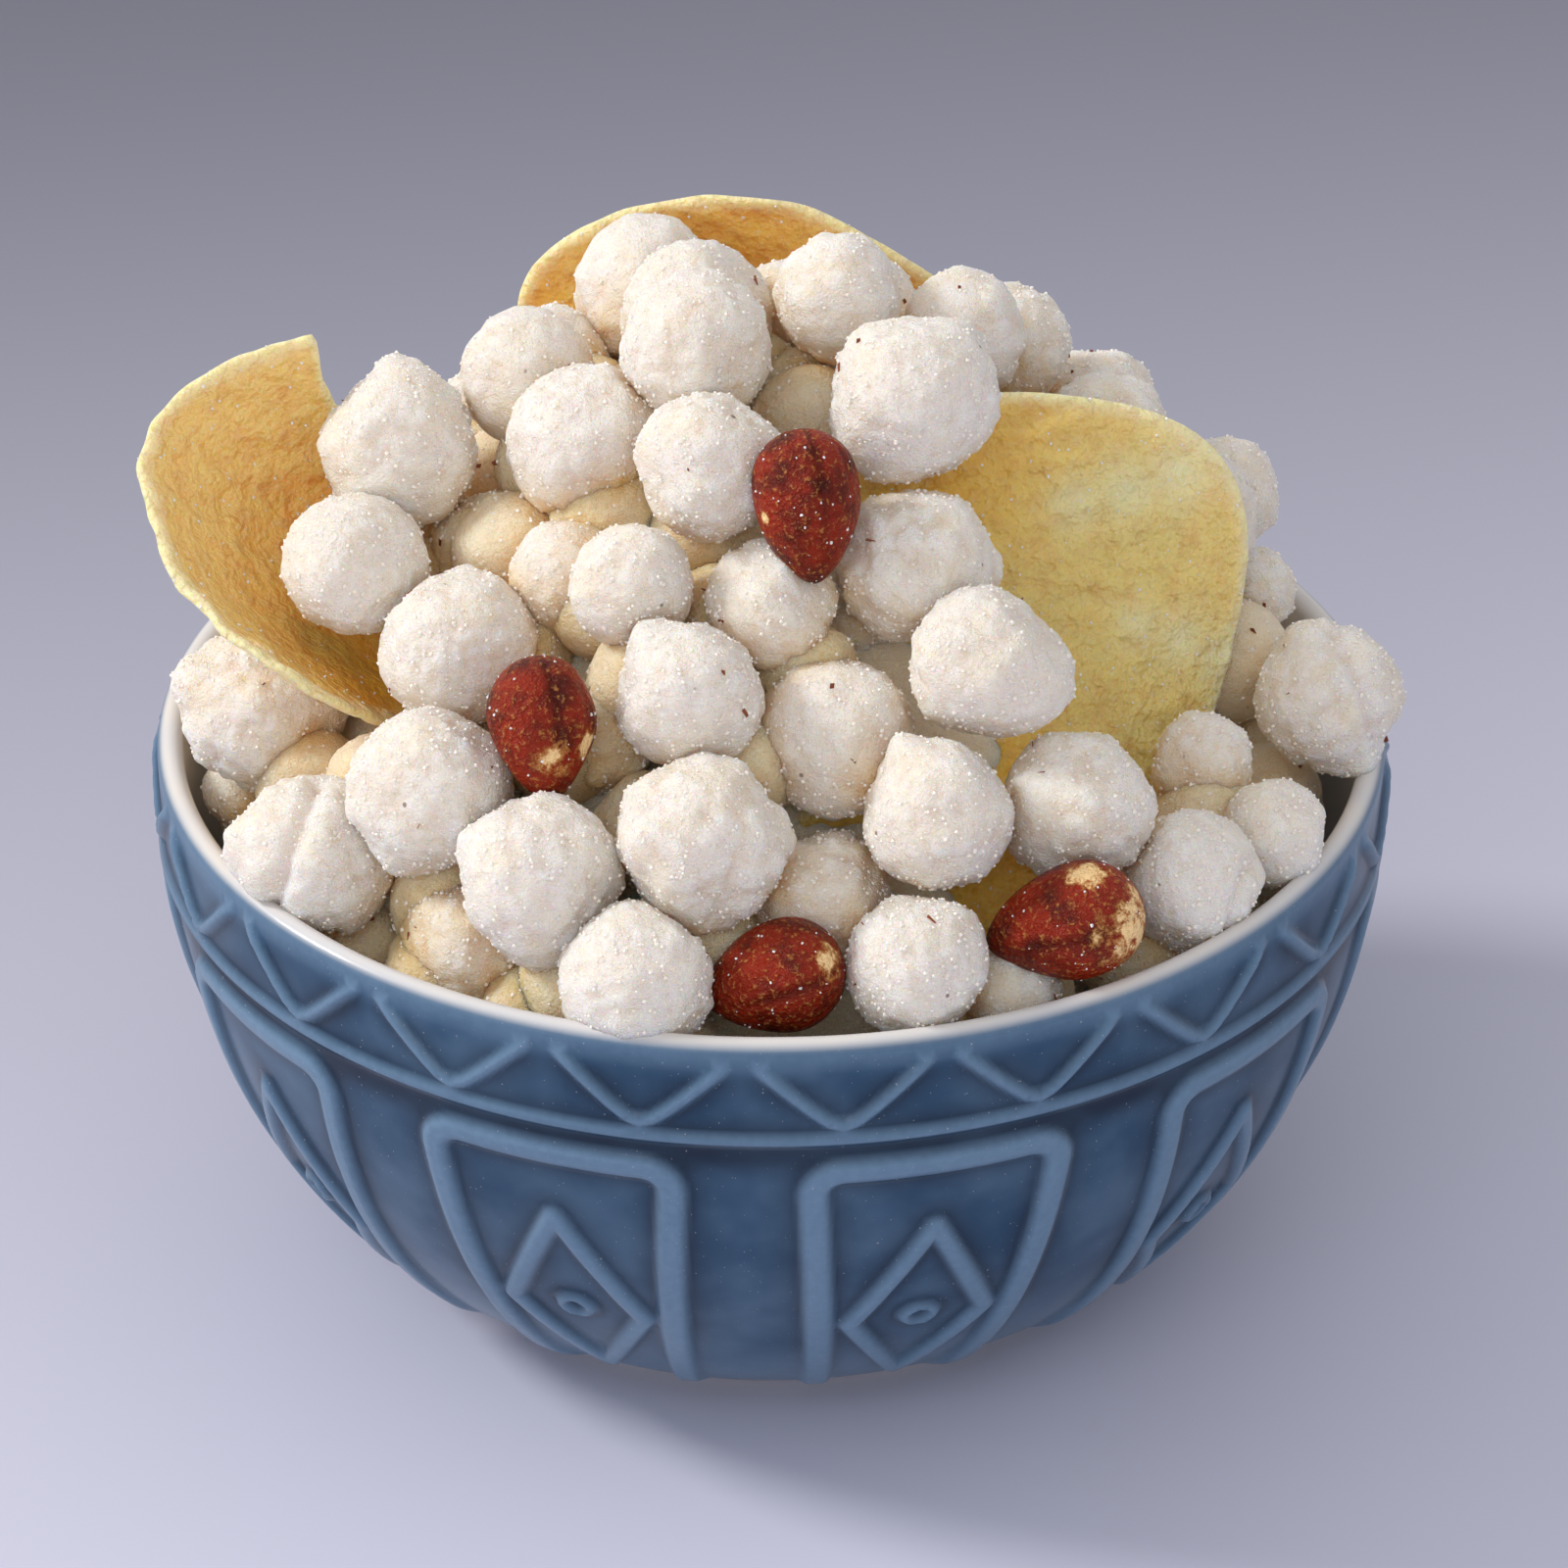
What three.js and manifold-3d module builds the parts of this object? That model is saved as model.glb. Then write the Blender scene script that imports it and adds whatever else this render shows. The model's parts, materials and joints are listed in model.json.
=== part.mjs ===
// A glazed stoneware bowl heaped with round puffs of makhana, three potato crisps and a buried
// fourth, and four roasted peanuts. Millimetres, +Z up, the floor at z = 0, the bowl's axis on Z.
// The side that is seen first faces -Y.
import * as THREE from 'three';
import { mergeVertices } from 'three/addons/utils/BufferGeometryUtils.js';
import Module from 'manifold-3d';

const wasm = await Module();
wasm.setup();
const { Manifold, Mesh: SolidMesh } = wasm;

// ---- driving dimensions -------------------------------------------------------------------
const BOWL = {
  height: 70.2,
  rimRadius: 75,          // outside, at the lip
  footRadius: 38,         // where the outer curve would meet the floor
  flare: 2.29,            // how late the wall turns upright
  fullness: 1.46,         // how full the belly is
  bodyStart: 2.2,         // the body hangs over the foot ring by this height
  wallAtRim: 3.2,
  wallAtBase: 5,
  floorThickness: 5,
  facets: 40,             // two to a zigzag, so that its corners fall on the facets' edges
};
const INNER = { curve: 4, lip: 4, steps: 3 };   // the corner of the floor, the lip, and the rows
const FOOT = { outer: 41.5, inner: 36.5, recess: 1.6 };
const PATTERN = { zigzags: 20, panels: 10, start: 6.35 };   // start is the angle of a zigzag's low point
const RIDGE = { height: 1, sunk: 1.2 };
const ZIGZAG = { low: 58.9, high: 67.2, width: 2.6 };
const RING = { height: 57.2, width: 2.8 };
const FRAME = { top: 52.3, bottom: 5.2, halfAngle: 11.6, corner: 3.4, width: 4, footAngle: 9.4 };
const DIAMOND = { top: 42.1, middle: 24.7, bottom: 10.6, halfAngle: 7.35, width: 3.4 };
const DOT = { height: 25.4, radius: 2 };

const GAP = 0.35;                     // clear space between solids that touch
const HEAP = {
  rim: 68,                            // height of the puffs' centres at the wall
  rise: 53,                           // how much higher they lie in the middle
  lean: 0.25,                         // the crown lies a little to the back
  reach: 68,                          // radius at which the heap comes down to the wall
  coreDepth: 6,                       // the core lies this far under the puffs' centres
  shoulder: 58,                       // the core fills the bowl up to here
  facets: 20,                         // every second facet of the bowl
  domeRings: 5,
};
// Where the core leaves a crisp bare: the way out, and the plane that bounds the bare part.
const POCKETS = [
  { name: 'chip_low', outwards: [1, -8, 9], bareSide: [0, 0, 1], bareFrom: 0 },
  { name: 'chip_right', outwards: [14, -19, 12], bareSide: [0.86, 0, 0.5], bareFrom: 74 },
];
const PUFF = { lump: 0.09, trueSize: 1.05, small: 16.4, smallest: 15.5, spread: 3.5 };
const FAR_SIDE = { tries: 1400, reach: 64, front: 9, crowding: 0.86, centreRise: 1.5 };
const CHIP = { thickness: 1.5, sectors: 18, edgeWave: 0.02 };
const NUT = { sides: 9, rings: 6, narrow: 0.2 };

// Puffs that show from the front: across (x), back (y), up (z) and the diameter.
const SHOWN_PUFFS = {
  crownFront: [-9, -2, 122, 17.5], crownBack: [-9, 14.5, 117.5, 18.5],
  crownMiddle: [3.5, 23, 113, 15], crownRight: [12, 31.5, 110, 12.5],
  shoulderRight: [29, 22, 110, 15], bigRight: [16.5, -9.5, 119, 20.5],
  backLeft: [-27, 24, 105.5, 15.5], backLeftLow: [-22.5, 34.5, 98.5, 12],
  upperLeft: [-22.5, -4.5, 110.5, 18.5], farLeft: [-35, 30, 95.5, 13.5],
  chipTopLeft: [-44.5, 1, 107, 19.5], upperMiddle: [-7, -16.5, 114, 17.5],
  nookMiddle: [4, 10, 108.5, 13.5], chipLowLeft: [-49.5, -13.5, 99, 17],
  deepLeft: [-34, -1, 93.5, 15.5], twinBack: [-23.5, -17.5, 99, 14],
  twinFront: [-16.5, -27.5, 104, 14.5], centre: [0, -27, 100.5, 16],
  rightMiddle: [17, -22, 103.5, 18.5], drop: [25, -36.5, 98.5, 18],
  leftMiddle: [-37, -24.5, 94, 19], heart: [-9.5, -39.5, 96, 17.5],
  deepCentre: [7.5, -36.5, 88.5, 19], leftLow: [-40, -41, 84.5, 19],
  frontLeft: [-27, -53.5, 79.5, 19], frontMiddle: [-8, -53, 84, 20],
  frontRight: [19, -49.5, 85.5, 17.5], brightRight: [35.5, -42, 82.5, 18],
  rimLeftTop: [-61, -9.5, 77.5, 19.5], rimLeft: [-54, -38, 73.5, 19],
  rimLeftNook: [-64.5, -8, 64, 9.5], lowLeft: [-35.5, -47, 66.5, 16],
  lowMiddle: [-15.5, -64, 72, 18], lowCentre: [5.5, -49, 73, 17],
  lowRight: [16.5, -62, 73, 16.5], rimRight: [49, -43.5, 73, 16.5],
  rimRightFar: [59.5, -32.5, 73, 13], rimRightNook: [57, -28, 64, 9.5],
  overRim: [67.5, -8, 77, 18], overRimInner: [61, 11, 68, 14],
  underChip: [51.5, -22, 75.5, 12], behindChip: [56, 24, 87.5, 14.5],
  behindChipLow: [59, 15.5, 79, 11], behindChipTop: [40.5, 28, 98, 14.5],
  byPeanut: [-20, -33, 86.5, 13], nookGap: [-10, -13.5, 97, 13],
  nookRight: [9, -18, 92, 11.5], cornerRight: [27.5, -56.5, 67, 12.5],
  leftTuck: [-62, 9, 74, 12], leftGap: [-46, -33, 63, 10.5],
};

// Crisps: the middle, the turns about X, Y and Z in degrees, the two half lengths, the bend along
// each and the twist. broken is a straight edge: its direction in degrees and how far out it lies.
const CHIPS = {
  chip_left: { at: [-56.5, 4.5, 92.5], turn: [60.3, 27, 27.5], half: [26.7, 23.5],
    bend: [0.14, 0.86], twist: 0.4, broken: [51, 0.43], rings: 3 },
  chip_right: { at: [28.8, -12.5, 89.6], turn: [52, -2, 32.5], half: [31.6, 28],
    bend: [0.13, 0.04], twist: 0.44, broken: [180, 0.5], rings: 2 },
  chip_back: { at: [-3, 40, 98.2], turn: [82.3, 3, -9], half: [29.6, 22.5],
    bend: [-0.01, 0.16], twist: -0.045, rings: 2 },
  chip_low: { at: [14.5, -42.5, 71], turn: [52, 0, 4], half: [20, 12],
    bend: [0.08, 0.05], twist: 0, rings: 2 },
};

// Peanut kernels: the middle, the direction of the blunt end, half the length and half the width.
const NUTS = {
  peanut_top: { at: [4.2, -25.5, 113.5], blunt: [-0.1, 0.5, 0.85], half: [9.1, 6.5] },
  peanut_left: { at: [-26.5, -42, 93.2], blunt: [-0.12, 0.5, 0.85], half: [8.5, 6.4] },
  peanut_front: { at: [0.5, -61.9, 71.2], blunt: [0.93, 0.1, 0.3], half: [8.4, 6.7] },
  peanut_right: { at: [34.2, -56.5, 75.2], blunt: [0.96, 0.1, 0.22], half: [9.4, 6.9] },
};

const COLOURS = {
  glaze: 0x5a7a9c,
  puff: 0xeee8dc,
  chip: 0xe6cf7a,
  skin: 0x8a3420,
};

// ---- helpers --------------------------------------------------------------------------------
const turn = (degrees) => THREE.MathUtils.degToRad(degrees);
const mix = THREE.MathUtils.lerp;

// A repeatable number from 0 to 1 for each whole number.
function scatter(n) {
  const wave = Math.sin(n * 12.9898 + 4.1414) * 43758.5453;
  return wave - Math.floor(wave);
}

function toSolid(geometry) {
  const bare = geometry.clone();
  bare.deleteAttribute('normal');
  bare.deleteAttribute('uv');
  const merged = mergeVertices(bare, 1e-4);
  const points = [];
  for (let i = 0; i < merged.attributes.position.count; i++) {
    points.push(new THREE.Vector3().fromBufferAttribute(merged.attributes.position, i));
  }
  const triangles = [];
  for (let i = 0; i < merged.index.count; i += 3) {
    const corners = [0, 1, 2].map((k) => merged.index.array[i + k]);
    if (new Set(corners).size === 3) triangles.push(...corners);
  }
  return outward(points, triangles);
}

// A closed solid whose faces point outwards.
function outward(points, triangles) {
  const solid = solidFrom(points, triangles);
  return solid.volume() < 0 ? solidFrom(points, triangles.reverse()) : solid;
}

function toGeometry(solid) {
  const mesh = solid.getMesh();
  const geometry = new THREE.BufferGeometry();
  geometry.setAttribute('position', new THREE.BufferAttribute(mesh.vertProperties, 3));
  geometry.setIndex(new THREE.BufferAttribute(mesh.triVerts, 1));
  return geometry;
}

// The largest body of a solid: loose scraps and sealed hollows are dropped.
function largestBody(solid) {
  const bodies = solid.decompose();
  return bodies.reduce((a, b) => (b.volume() > a.volume() ? b : a));
}

// A closed solid from rings of points, each ring with the same number of points.
function skin(rings, endsMeet) {
  const count = rings[0].length;
  const points = rings.flat();
  const triangles = [];
  const last = endsMeet ? rings.length : rings.length - 1;
  for (let i = 0; i < last; i++) {
    const here = i * count;
    const next = ((i + 1) % rings.length) * count;
    for (let k = 0; k < count; k++) {
      const m = (k + 1) % count;
      triangles.push(here + k, next + k, next + m, here + k, next + m, here + m);
    }
  }
  if (!endsMeet) {
    const far = (rings.length - 1) * count;
    for (let k = 1; k < count - 1; k++) {
      triangles.push(0, k, k + 1, far, far + k + 1, far + k);
    }
  }
  return outward(points, triangles);
}

function solidFrom(points, triangles) {
  return new Manifold(new SolidMesh({
    numProp: 3,
    vertProperties: new Float32Array(points.flatMap((p) => p.toArray())),
    triVerts: new Uint32Array(triangles),
  }));
}

function lathe(profile, facets) {
  const outline = profile.map(([r, z]) => new THREE.Vector2(r, z));
  const geometry = new THREE.LatheGeometry(outline, facets, turn(PATTERN.start));
  geometry.rotateX(Math.PI / 2);
  return toSolid(geometry);
}

// ---- the bowl ---------------------------------------------------------------------------------
function outerRadius(z) {
  const open = 1 - (1 - z / BOWL.height) ** BOWL.flare;
  return BOWL.footRadius + (BOWL.rimRadius - BOWL.footRadius) * open ** (1 / BOWL.fullness);
}

function innerRadius(z) {
  return outerRadius(z) - mix(BOWL.wallAtBase, BOWL.wallAtRim, z / BOWL.height);
}

// The inside of the bowl from its middle up the wall, as [radius, height] pairs.
function innerCurve(inset) {
  const base = FOOT.recess + BOWL.floorThickness;
  const start = base + INNER.curve;
  const top = BOWL.height - INNER.lip;
  const curve = [[0, base + inset], [innerRadius(start) * 0.72, base + 0.8 + inset]];
  for (let i = 0; i <= INNER.steps; i++) {
    const z = mix(start, top, (i / INNER.steps) ** 1.4);
    curve.push([innerRadius(z) - inset, z + inset * (1 - i / INNER.steps)]);
  }
  return curve;
}

// The same curve, cut off at a height on its last straight stretch.
function innerCurveTo(height, inset) {
  const curve = innerCurve(inset);
  const above = curve.findIndex(([, z]) => z > height);
  const [[r0, z0], [r1, z1]] = [curve[above - 1], curve[above]];
  return [...curve.slice(0, above), [mix(r0, r1, (height - z0) / (z1 - z0)), height]];
}

function bowlBody() {
  const half = RING.width / 2;
  const heights = [BOWL.bodyStart, 6.5, 14, 25, 40, RING.height - half];
  const outer = heights.map((z) => [outerRadius(z), z]);
  outer.push([outerRadius(RING.height) + RIDGE.height, RING.height]);
  outer.push([outerRadius(RING.height + half), RING.height + half]);
  const lipMiddle = BOWL.rimRadius - BOWL.wallAtRim / 2;
  const lip = [
    [BOWL.rimRadius - 0.1, BOWL.height - 3.2], [BOWL.rimRadius, BOWL.height - 1.4],
    [lipMiddle + 0.9, BOWL.height - 0.2], [lipMiddle - 0.7, BOWL.height],
    [innerRadius(BOWL.height), BOWL.height - 1.2],
  ];
  const inner = innerCurve(0).reverse();
  const foot = [[0, FOOT.recess], [FOOT.inner - 1, FOOT.recess], [FOOT.inner, 0], [FOOT.outer, 0],
    [FOOT.outer + 0.6, BOWL.bodyStart - 0.7]];
  return lathe([...foot, ...outer, ...lip, ...inner], BOWL.facets);
}

// A point of the outer surface, its outward direction and the direction up along the wall.
function wallAt(degrees, z) {
  const a = turn(degrees);
  const slope = (outerRadius(z + 0.5) - outerRadius(z - 0.5));
  const around = new THREE.Vector3(Math.cos(a), Math.sin(a), 0);
  const radial = new THREE.Vector3(Math.sin(a), -Math.cos(a), 0);
  const up = radial.clone().multiplyScalar(slope).add(new THREE.Vector3(0, 0, 1)).normalize();
  const out = around.clone().cross(up).normalize();
  if (out.dot(radial) < 0) out.negate();
  return { point: radial.clone().multiplyScalar(outerRadius(z)).setZ(z), out };
}

// A low ridge on the wall along a path of [degrees, height] points.
function ridge(path, width, closed) {
  const spots = path.map(([degrees, z]) => wallAt(degrees, z));
  const rings = spots.map(({ point, out }, i) => {
    const before = spots[closed ? (i + spots.length - 1) % spots.length : Math.max(i - 1, 0)].point;
    const after = spots[closed ? (i + 1) % spots.length : Math.min(i + 1, spots.length - 1)].point;
    const ahead = after.clone().sub(point).normalize();
    const behind = point.clone().sub(before).normalize();
    const along = ahead.clone().add(behind).normalize();
    const mitre = Math.min(1 / Math.max(along.dot(behind.length() ? behind : ahead), 0.5), 1.6);
    const side = out.clone().cross(along).normalize().multiplyScalar(width * 0.5 * mitre);
    const at = (share, lift) => point.clone().addScaledVector(side, share).addScaledVector(out, lift);
    return [at(-1, -RIDGE.sunk), at(0, RIDGE.height), at(1, -RIDGE.sunk)];
  });
  return skin(rings, closed);
}

// Points between the corners of a path, so that a ridge follows the curved wall.
function subdivide(corners, steps, closed) {
  const path = [];
  corners.forEach((corner, i) => {
    const next = corners[(i + 1) % corners.length];
    const last = i === corners.length - 1;
    if (last && !closed) {
      path.push(corner);
      return;
    }
    for (let k = 0; k < steps[i]; k++) {
      path.push([mix(corner[0], next[0], k / steps[i]), mix(corner[1], next[1], k / steps[i])]);
    }
  });
  return path;
}

function zigzag() {
  const pitch = 360 / PATTERN.zigzags;
  const path = [];
  for (let k = 0; k < PATTERN.zigzags; k++) {
    const low = PATTERN.start + k * pitch;
    path.push([low, ZIGZAG.low], [low + pitch / 2, ZIGZAG.high]);
  }
  return ridge(path, ZIGZAG.width, true);
}

function panel(middle) {
  const { halfAngle, corner, top, bottom, footAngle } = FRAME;
  const cornerAngle = corner / 1.2;
  const corners = [
    [middle - footAngle, bottom], [middle - halfAngle, top - corner],
    [middle - halfAngle + cornerAngle, top], [middle + halfAngle - cornerAngle, top],
    [middle + halfAngle, top - corner], [middle + footAngle, bottom],
  ];
  const frame = ridge(subdivide(corners, [4, 1, 2, 1, 4, 1], false), FRAME.width, false);
  const points = [
    [middle, DIAMOND.top], [middle + DIAMOND.halfAngle, DIAMOND.middle],
    [middle, DIAMOND.bottom], [middle - DIAMOND.halfAngle, DIAMOND.middle],
  ];
  const diamond = ridge(subdivide(points, [2, 2, 2, 2], true), DIAMOND.width, true);
  const { point, out } = wallAt(middle, DOT.height);
  const dot = new THREE.CylinderGeometry(DOT.radius * 0.6, DOT.radius, RIDGE.height + RIDGE.sunk, 6);
  dot.translate(0, (RIDGE.height - RIDGE.sunk) / 2, 0);
  dot.applyQuaternion(new THREE.Quaternion().setFromUnitVectors(new THREE.Vector3(0, 1, 0), out));
  dot.translate(point.x, point.y, point.z);
  return [frame, diamond, toSolid(dot)];
}

function bowl() {
  let solid = bowlBody().add(zigzag());
  const pitch = 360 / PATTERN.panels;
  const first = PATTERN.start + 9 - pitch;
  for (let k = 0; k < PATTERN.panels; k++) {
    for (const piece of panel(first + k * pitch)) solid = solid.add(piece);
  }
  return largestBody(solid);
}

// ---- crisps -----------------------------------------------------------------------------------
// grow thickens a crisp all round, for the slot that it leaves in the heap.
function chip({ at, turn: turns, half, bend, twist, rings, broken }, grow) {
  const pose = new THREE.Matrix4().makeRotationFromEuler(
    new THREE.Euler(...turns.map(turn), 'ZYX'),
  );
  const middle = new THREE.Vector3(...at);
  const surface = (u, v) => {
    const [x, y] = [half[0] * u, half[1] * v];
    const z = bend[0] * x * u + bend[1] * y * v + twist * x * v * half[1] / half[0];
    return new THREE.Vector3(x, y, z);
  };
  const lift = (u, v) => {
    const e = 1e-3;
    const du = surface(u + e, v).sub(surface(u - e, v));
    const dv = surface(u, v + e).sub(surface(u, v - e));
    return du.cross(dv).normalize();
  };
  const reach = (angle) => {
    const wave = 1 + CHIP.edgeWave * (Math.sin(3 * angle + 1) + Math.sin(5 * angle));
    if (!broken) return wave;
    const toEdge = Math.cos(angle - turn(broken[0]));
    return toEdge > 0.01 ? Math.min(wave, broken[1] / toEdge) : wave;
  };
  const thick = CHIP.thickness / 2 + grow;
  const place = (share, angle, side) => {
    const r = share * (reach(angle) + (share === 1 ? grow / half[1] : 0));
    const [u, v] = [r * Math.cos(angle), r * Math.sin(angle)];
    return surface(u, v).addScaledVector(lift(u, v), side * thick).applyMatrix4(pose).add(middle);
  };
  const points = [place(0, 0, 1), place(0, 0, -1)];
  for (const side of [1, -1]) {
    for (let i = 1; i <= rings; i++) {
      for (let k = 0; k < CHIP.sectors; k++) {
        points.push(place(i / rings, (2 * Math.PI * k) / CHIP.sectors, side));
      }
    }
  }
  const index = (side, i, k) => 2 + ((side * rings + i - 1) * CHIP.sectors) + (k % CHIP.sectors);
  const triangles = [];
  for (const side of [0, 1]) {
    const add = (a, b, c) => triangles.push(...(side ? [a, c, b] : [a, b, c]));
    for (let k = 0; k < CHIP.sectors; k++) {
      add(side, index(side, 1, k), index(side, 1, k + 1));
      for (let i = 1; i < rings; i++) {
        add(index(side, i, k), index(side, i + 1, k), index(side, i + 1, k + 1));
        add(index(side, i, k), index(side, i + 1, k + 1), index(side, i, k + 1));
      }
    }
  }
  for (let k = 0; k < CHIP.sectors; k++) {
    const rim = [index(0, rings, k), index(0, rings, k + 1)];
    const under = [index(1, rings, k), index(1, rings, k + 1)];
    triangles.push(rim[0], under[0], under[1], rim[0], under[1], rim[1]);
  }
  return outward(points, triangles);
}

// ---- peanuts ----------------------------------------------------------------------------------
function nut({ at, blunt, half }, grow) {
  const [long, wide] = [half[0] + grow, half[1] + grow];
  const profile = [[0, -long]];
  for (let i = 1; i < NUT.rings; i++) {
    const a = Math.PI * (i / NUT.rings - 0.5);
    profile.push([wide * Math.cos(a) * (1 + NUT.narrow * Math.sin(a)), long * Math.sin(a)]);
  }
  profile.push([0, long]);
  const geometry = new THREE.LatheGeometry(profile.map(([r, z]) => new THREE.Vector2(r, z)), NUT.sides);
  const direction = new THREE.Vector3(...blunt).normalize();
  geometry.applyQuaternion(
    new THREE.Quaternion().setFromUnitVectors(new THREE.Vector3(0, 1, 0), direction),
  );
  geometry.translate(...at);
  return toSolid(geometry);
}

// ---- the heap ---------------------------------------------------------------------------------
// Height of the puffs' centres over a point of the bowl.
function heapHeight(x, y) {
  const open = 1 - Math.min((x * x + y * y) / HEAP.reach ** 2, 1);
  return HEAP.rim + (HEAP.rise + HEAP.lean * y) * open;
}

function core() {
  const rings = [];
  const ring = (radius, heightAt) => {
    const points = [];
    for (let k = 0; k < HEAP.facets; k++) {
      const a = turn(PATTERN.start) + (2 * Math.PI * k) / HEAP.facets;
      const [x, y] = [radius * Math.sin(a), -radius * Math.cos(a)];
      points.push(new THREE.Vector3(x, y, heightAt(x, y)));
    }
    rings.push(points);
  };
  const inside = innerCurveTo(HEAP.shoulder, GAP);
  inside.slice(1).forEach(([radius, z]) => ring(radius, () => z));
  const edge = inside.at(-1)[0];
  for (let i = 0; i < HEAP.domeRings; i++) {
    const radius = edge * (1 - (i + 0.5) / (HEAP.domeRings + 0.5));
    ring(radius, (x, y) => heapHeight(x, y) - HEAP.coreDepth);
  }
  return skin(rings, false);
}

function puff([x, y, z, diameter], seed) {
  const round = diameter > PUFF.small
    ? new THREE.IcosahedronGeometry(1, 1)
    : new THREE.OctahedronGeometry(1, 1);
  const ball = mergeVertices(round.deleteAttribute('normal').deleteAttribute('uv'), 1e-4);
  const spots = ball.attributes.position;
  const spin = new THREE.Euler(6 * scatter(seed), 6 * scatter(seed + 0.3), 6 * scatter(seed + 0.6));
  for (let i = 0; i < spots.count; i++) {
    const lump = PUFF.trueSize + PUFF.lump * (scatter(seed * 50 + i) - 0.5);
    const spot = new THREE.Vector3().fromBufferAttribute(spots, i).applyEuler(spin);
    spot.multiplyScalar((lump * diameter) / 2);
    spots.setXYZ(i, x + spot.x, y + spot.y, z + spot.z);
  }
  return toSolid(ball);
}

// Puffs on the side that doesn't show, scattered over the same dome from the wall inwards, clear
// of what is there.
function farPuffs(toppings) {
  const placed = Object.values(SHOWN_PUFFS);
  const added = [];
  const apart = (a, b) => Math.hypot(a[0] - b[0], a[1] - b[1], a[2] - b[2]);
  for (let n = FAR_SIDE.tries; n > 0; n--) {
    const radius = FAR_SIDE.reach * Math.sqrt(n / FAR_SIDE.tries);
    const angle = turn(137.508 * n);
    const [x, y] = [radius * Math.sin(angle), -radius * Math.cos(angle)];
    const size = PUFF.smallest + PUFF.spread * scatter(n + 500);
    const spot = [x, y, heapHeight(x, y) + FAR_SIDE.centreRise * (scatter(n + 900) - 0.5), size];
    const far = y > FAR_SIDE.front;
    const free = [...placed, ...added].every(
      (other) => apart(spot, other) > (FAR_SIDE.crowding * (size + other[3])) / 2,
    );
    const clear = toppings.every((point) => apart(spot, point) > size / 2);
    if (far && free && clear) added.push(spot);
  }
  return added;
}

function heap(cutters, toppings) {
  let solid = core();
  for (const place of POCKETS) solid = solid.subtract(pocket(place));
  const puffs = [...Object.values(SHOWN_PUFFS), ...farPuffs(toppings)];
  puffs.forEach((spot, seed) => {
    solid = solid.add(puff(spot, seed + 1));
  });
  for (const cutter of cutters) solid = solid.subtract(cutter);
  return largestBody(solid);
}

// The lip and the wall above the core, grown by the gap, to cut the puffs clear of them.
function bowlClearance() {
  const outside = BOWL.rimRadius + 5;
  const top = BOWL.height + GAP;
  const lip = innerRadius(BOWL.height);
  const low = innerCurveTo(HEAP.shoulder, GAP).at(-1);
  return lathe([
    low, [outside, HEAP.shoulder], [outside, BOWL.height - 4], [BOWL.rimRadius, top - 1],
    [BOWL.rimRadius - 1, top], [lip + 0.5, top], [lip - GAP, BOWL.height - 1.2], low,
  ], BOWL.facets);
}

// The space in front of a crisp's bare part, which only the puffs that lie on it fill.
function pocket({ name, outwards, bareSide, bareFrom }) {
  const bare = chip(CHIPS[name], GAP).trimByPlane(bareSide, bareFrom);
  return Manifold.hull([bare, bare.translate(outwards)]);
}

// ---- assembly ---------------------------------------------------------------------------------
const object = new THREE.Group();
function show(name, solid, color, roughness) {
  const material = new THREE.MeshStandardMaterial({ color, roughness, metalness: 0 });
  const mesh = new THREE.Mesh(toGeometry(solid), material);
  mesh.name = name;
  object.add(mesh);
}

show('bowl', bowl(), COLOURS.glaze, 0.25);

const cutters = [bowlClearance()];
const toppings = [];
for (const [name, size] of Object.entries(CHIPS)) {
  const solid = chip(size, 0);
  show(name, solid, COLOURS.chip, 0.7);
  cutters.push(chip(size, GAP));
  const { vertProperties } = solid.getMesh();
  for (let i = 0; i < vertProperties.length; i += 3) toppings.push(vertProperties.slice(i, i + 3));
}
for (const [name, size] of Object.entries(NUTS)) {
  show(name, nut(size, 0), COLOURS.skin, 0.45);
  cutters.push(nut(size, GAP));
}
show('makhana_heap', heap(cutters, toppings), COLOURS.puff, 0.8);

export default object;
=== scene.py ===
"""A glazed stoneware bowl heaped with makhana, four crisps and four peanuts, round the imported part."""

import json
import math

import bmesh
import bpy
import numpy as np
from bpy.props import FloatProperty, FloatVectorProperty, IntProperty, PointerProperty
from mathutils import Euler, Matrix, Vector

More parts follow.
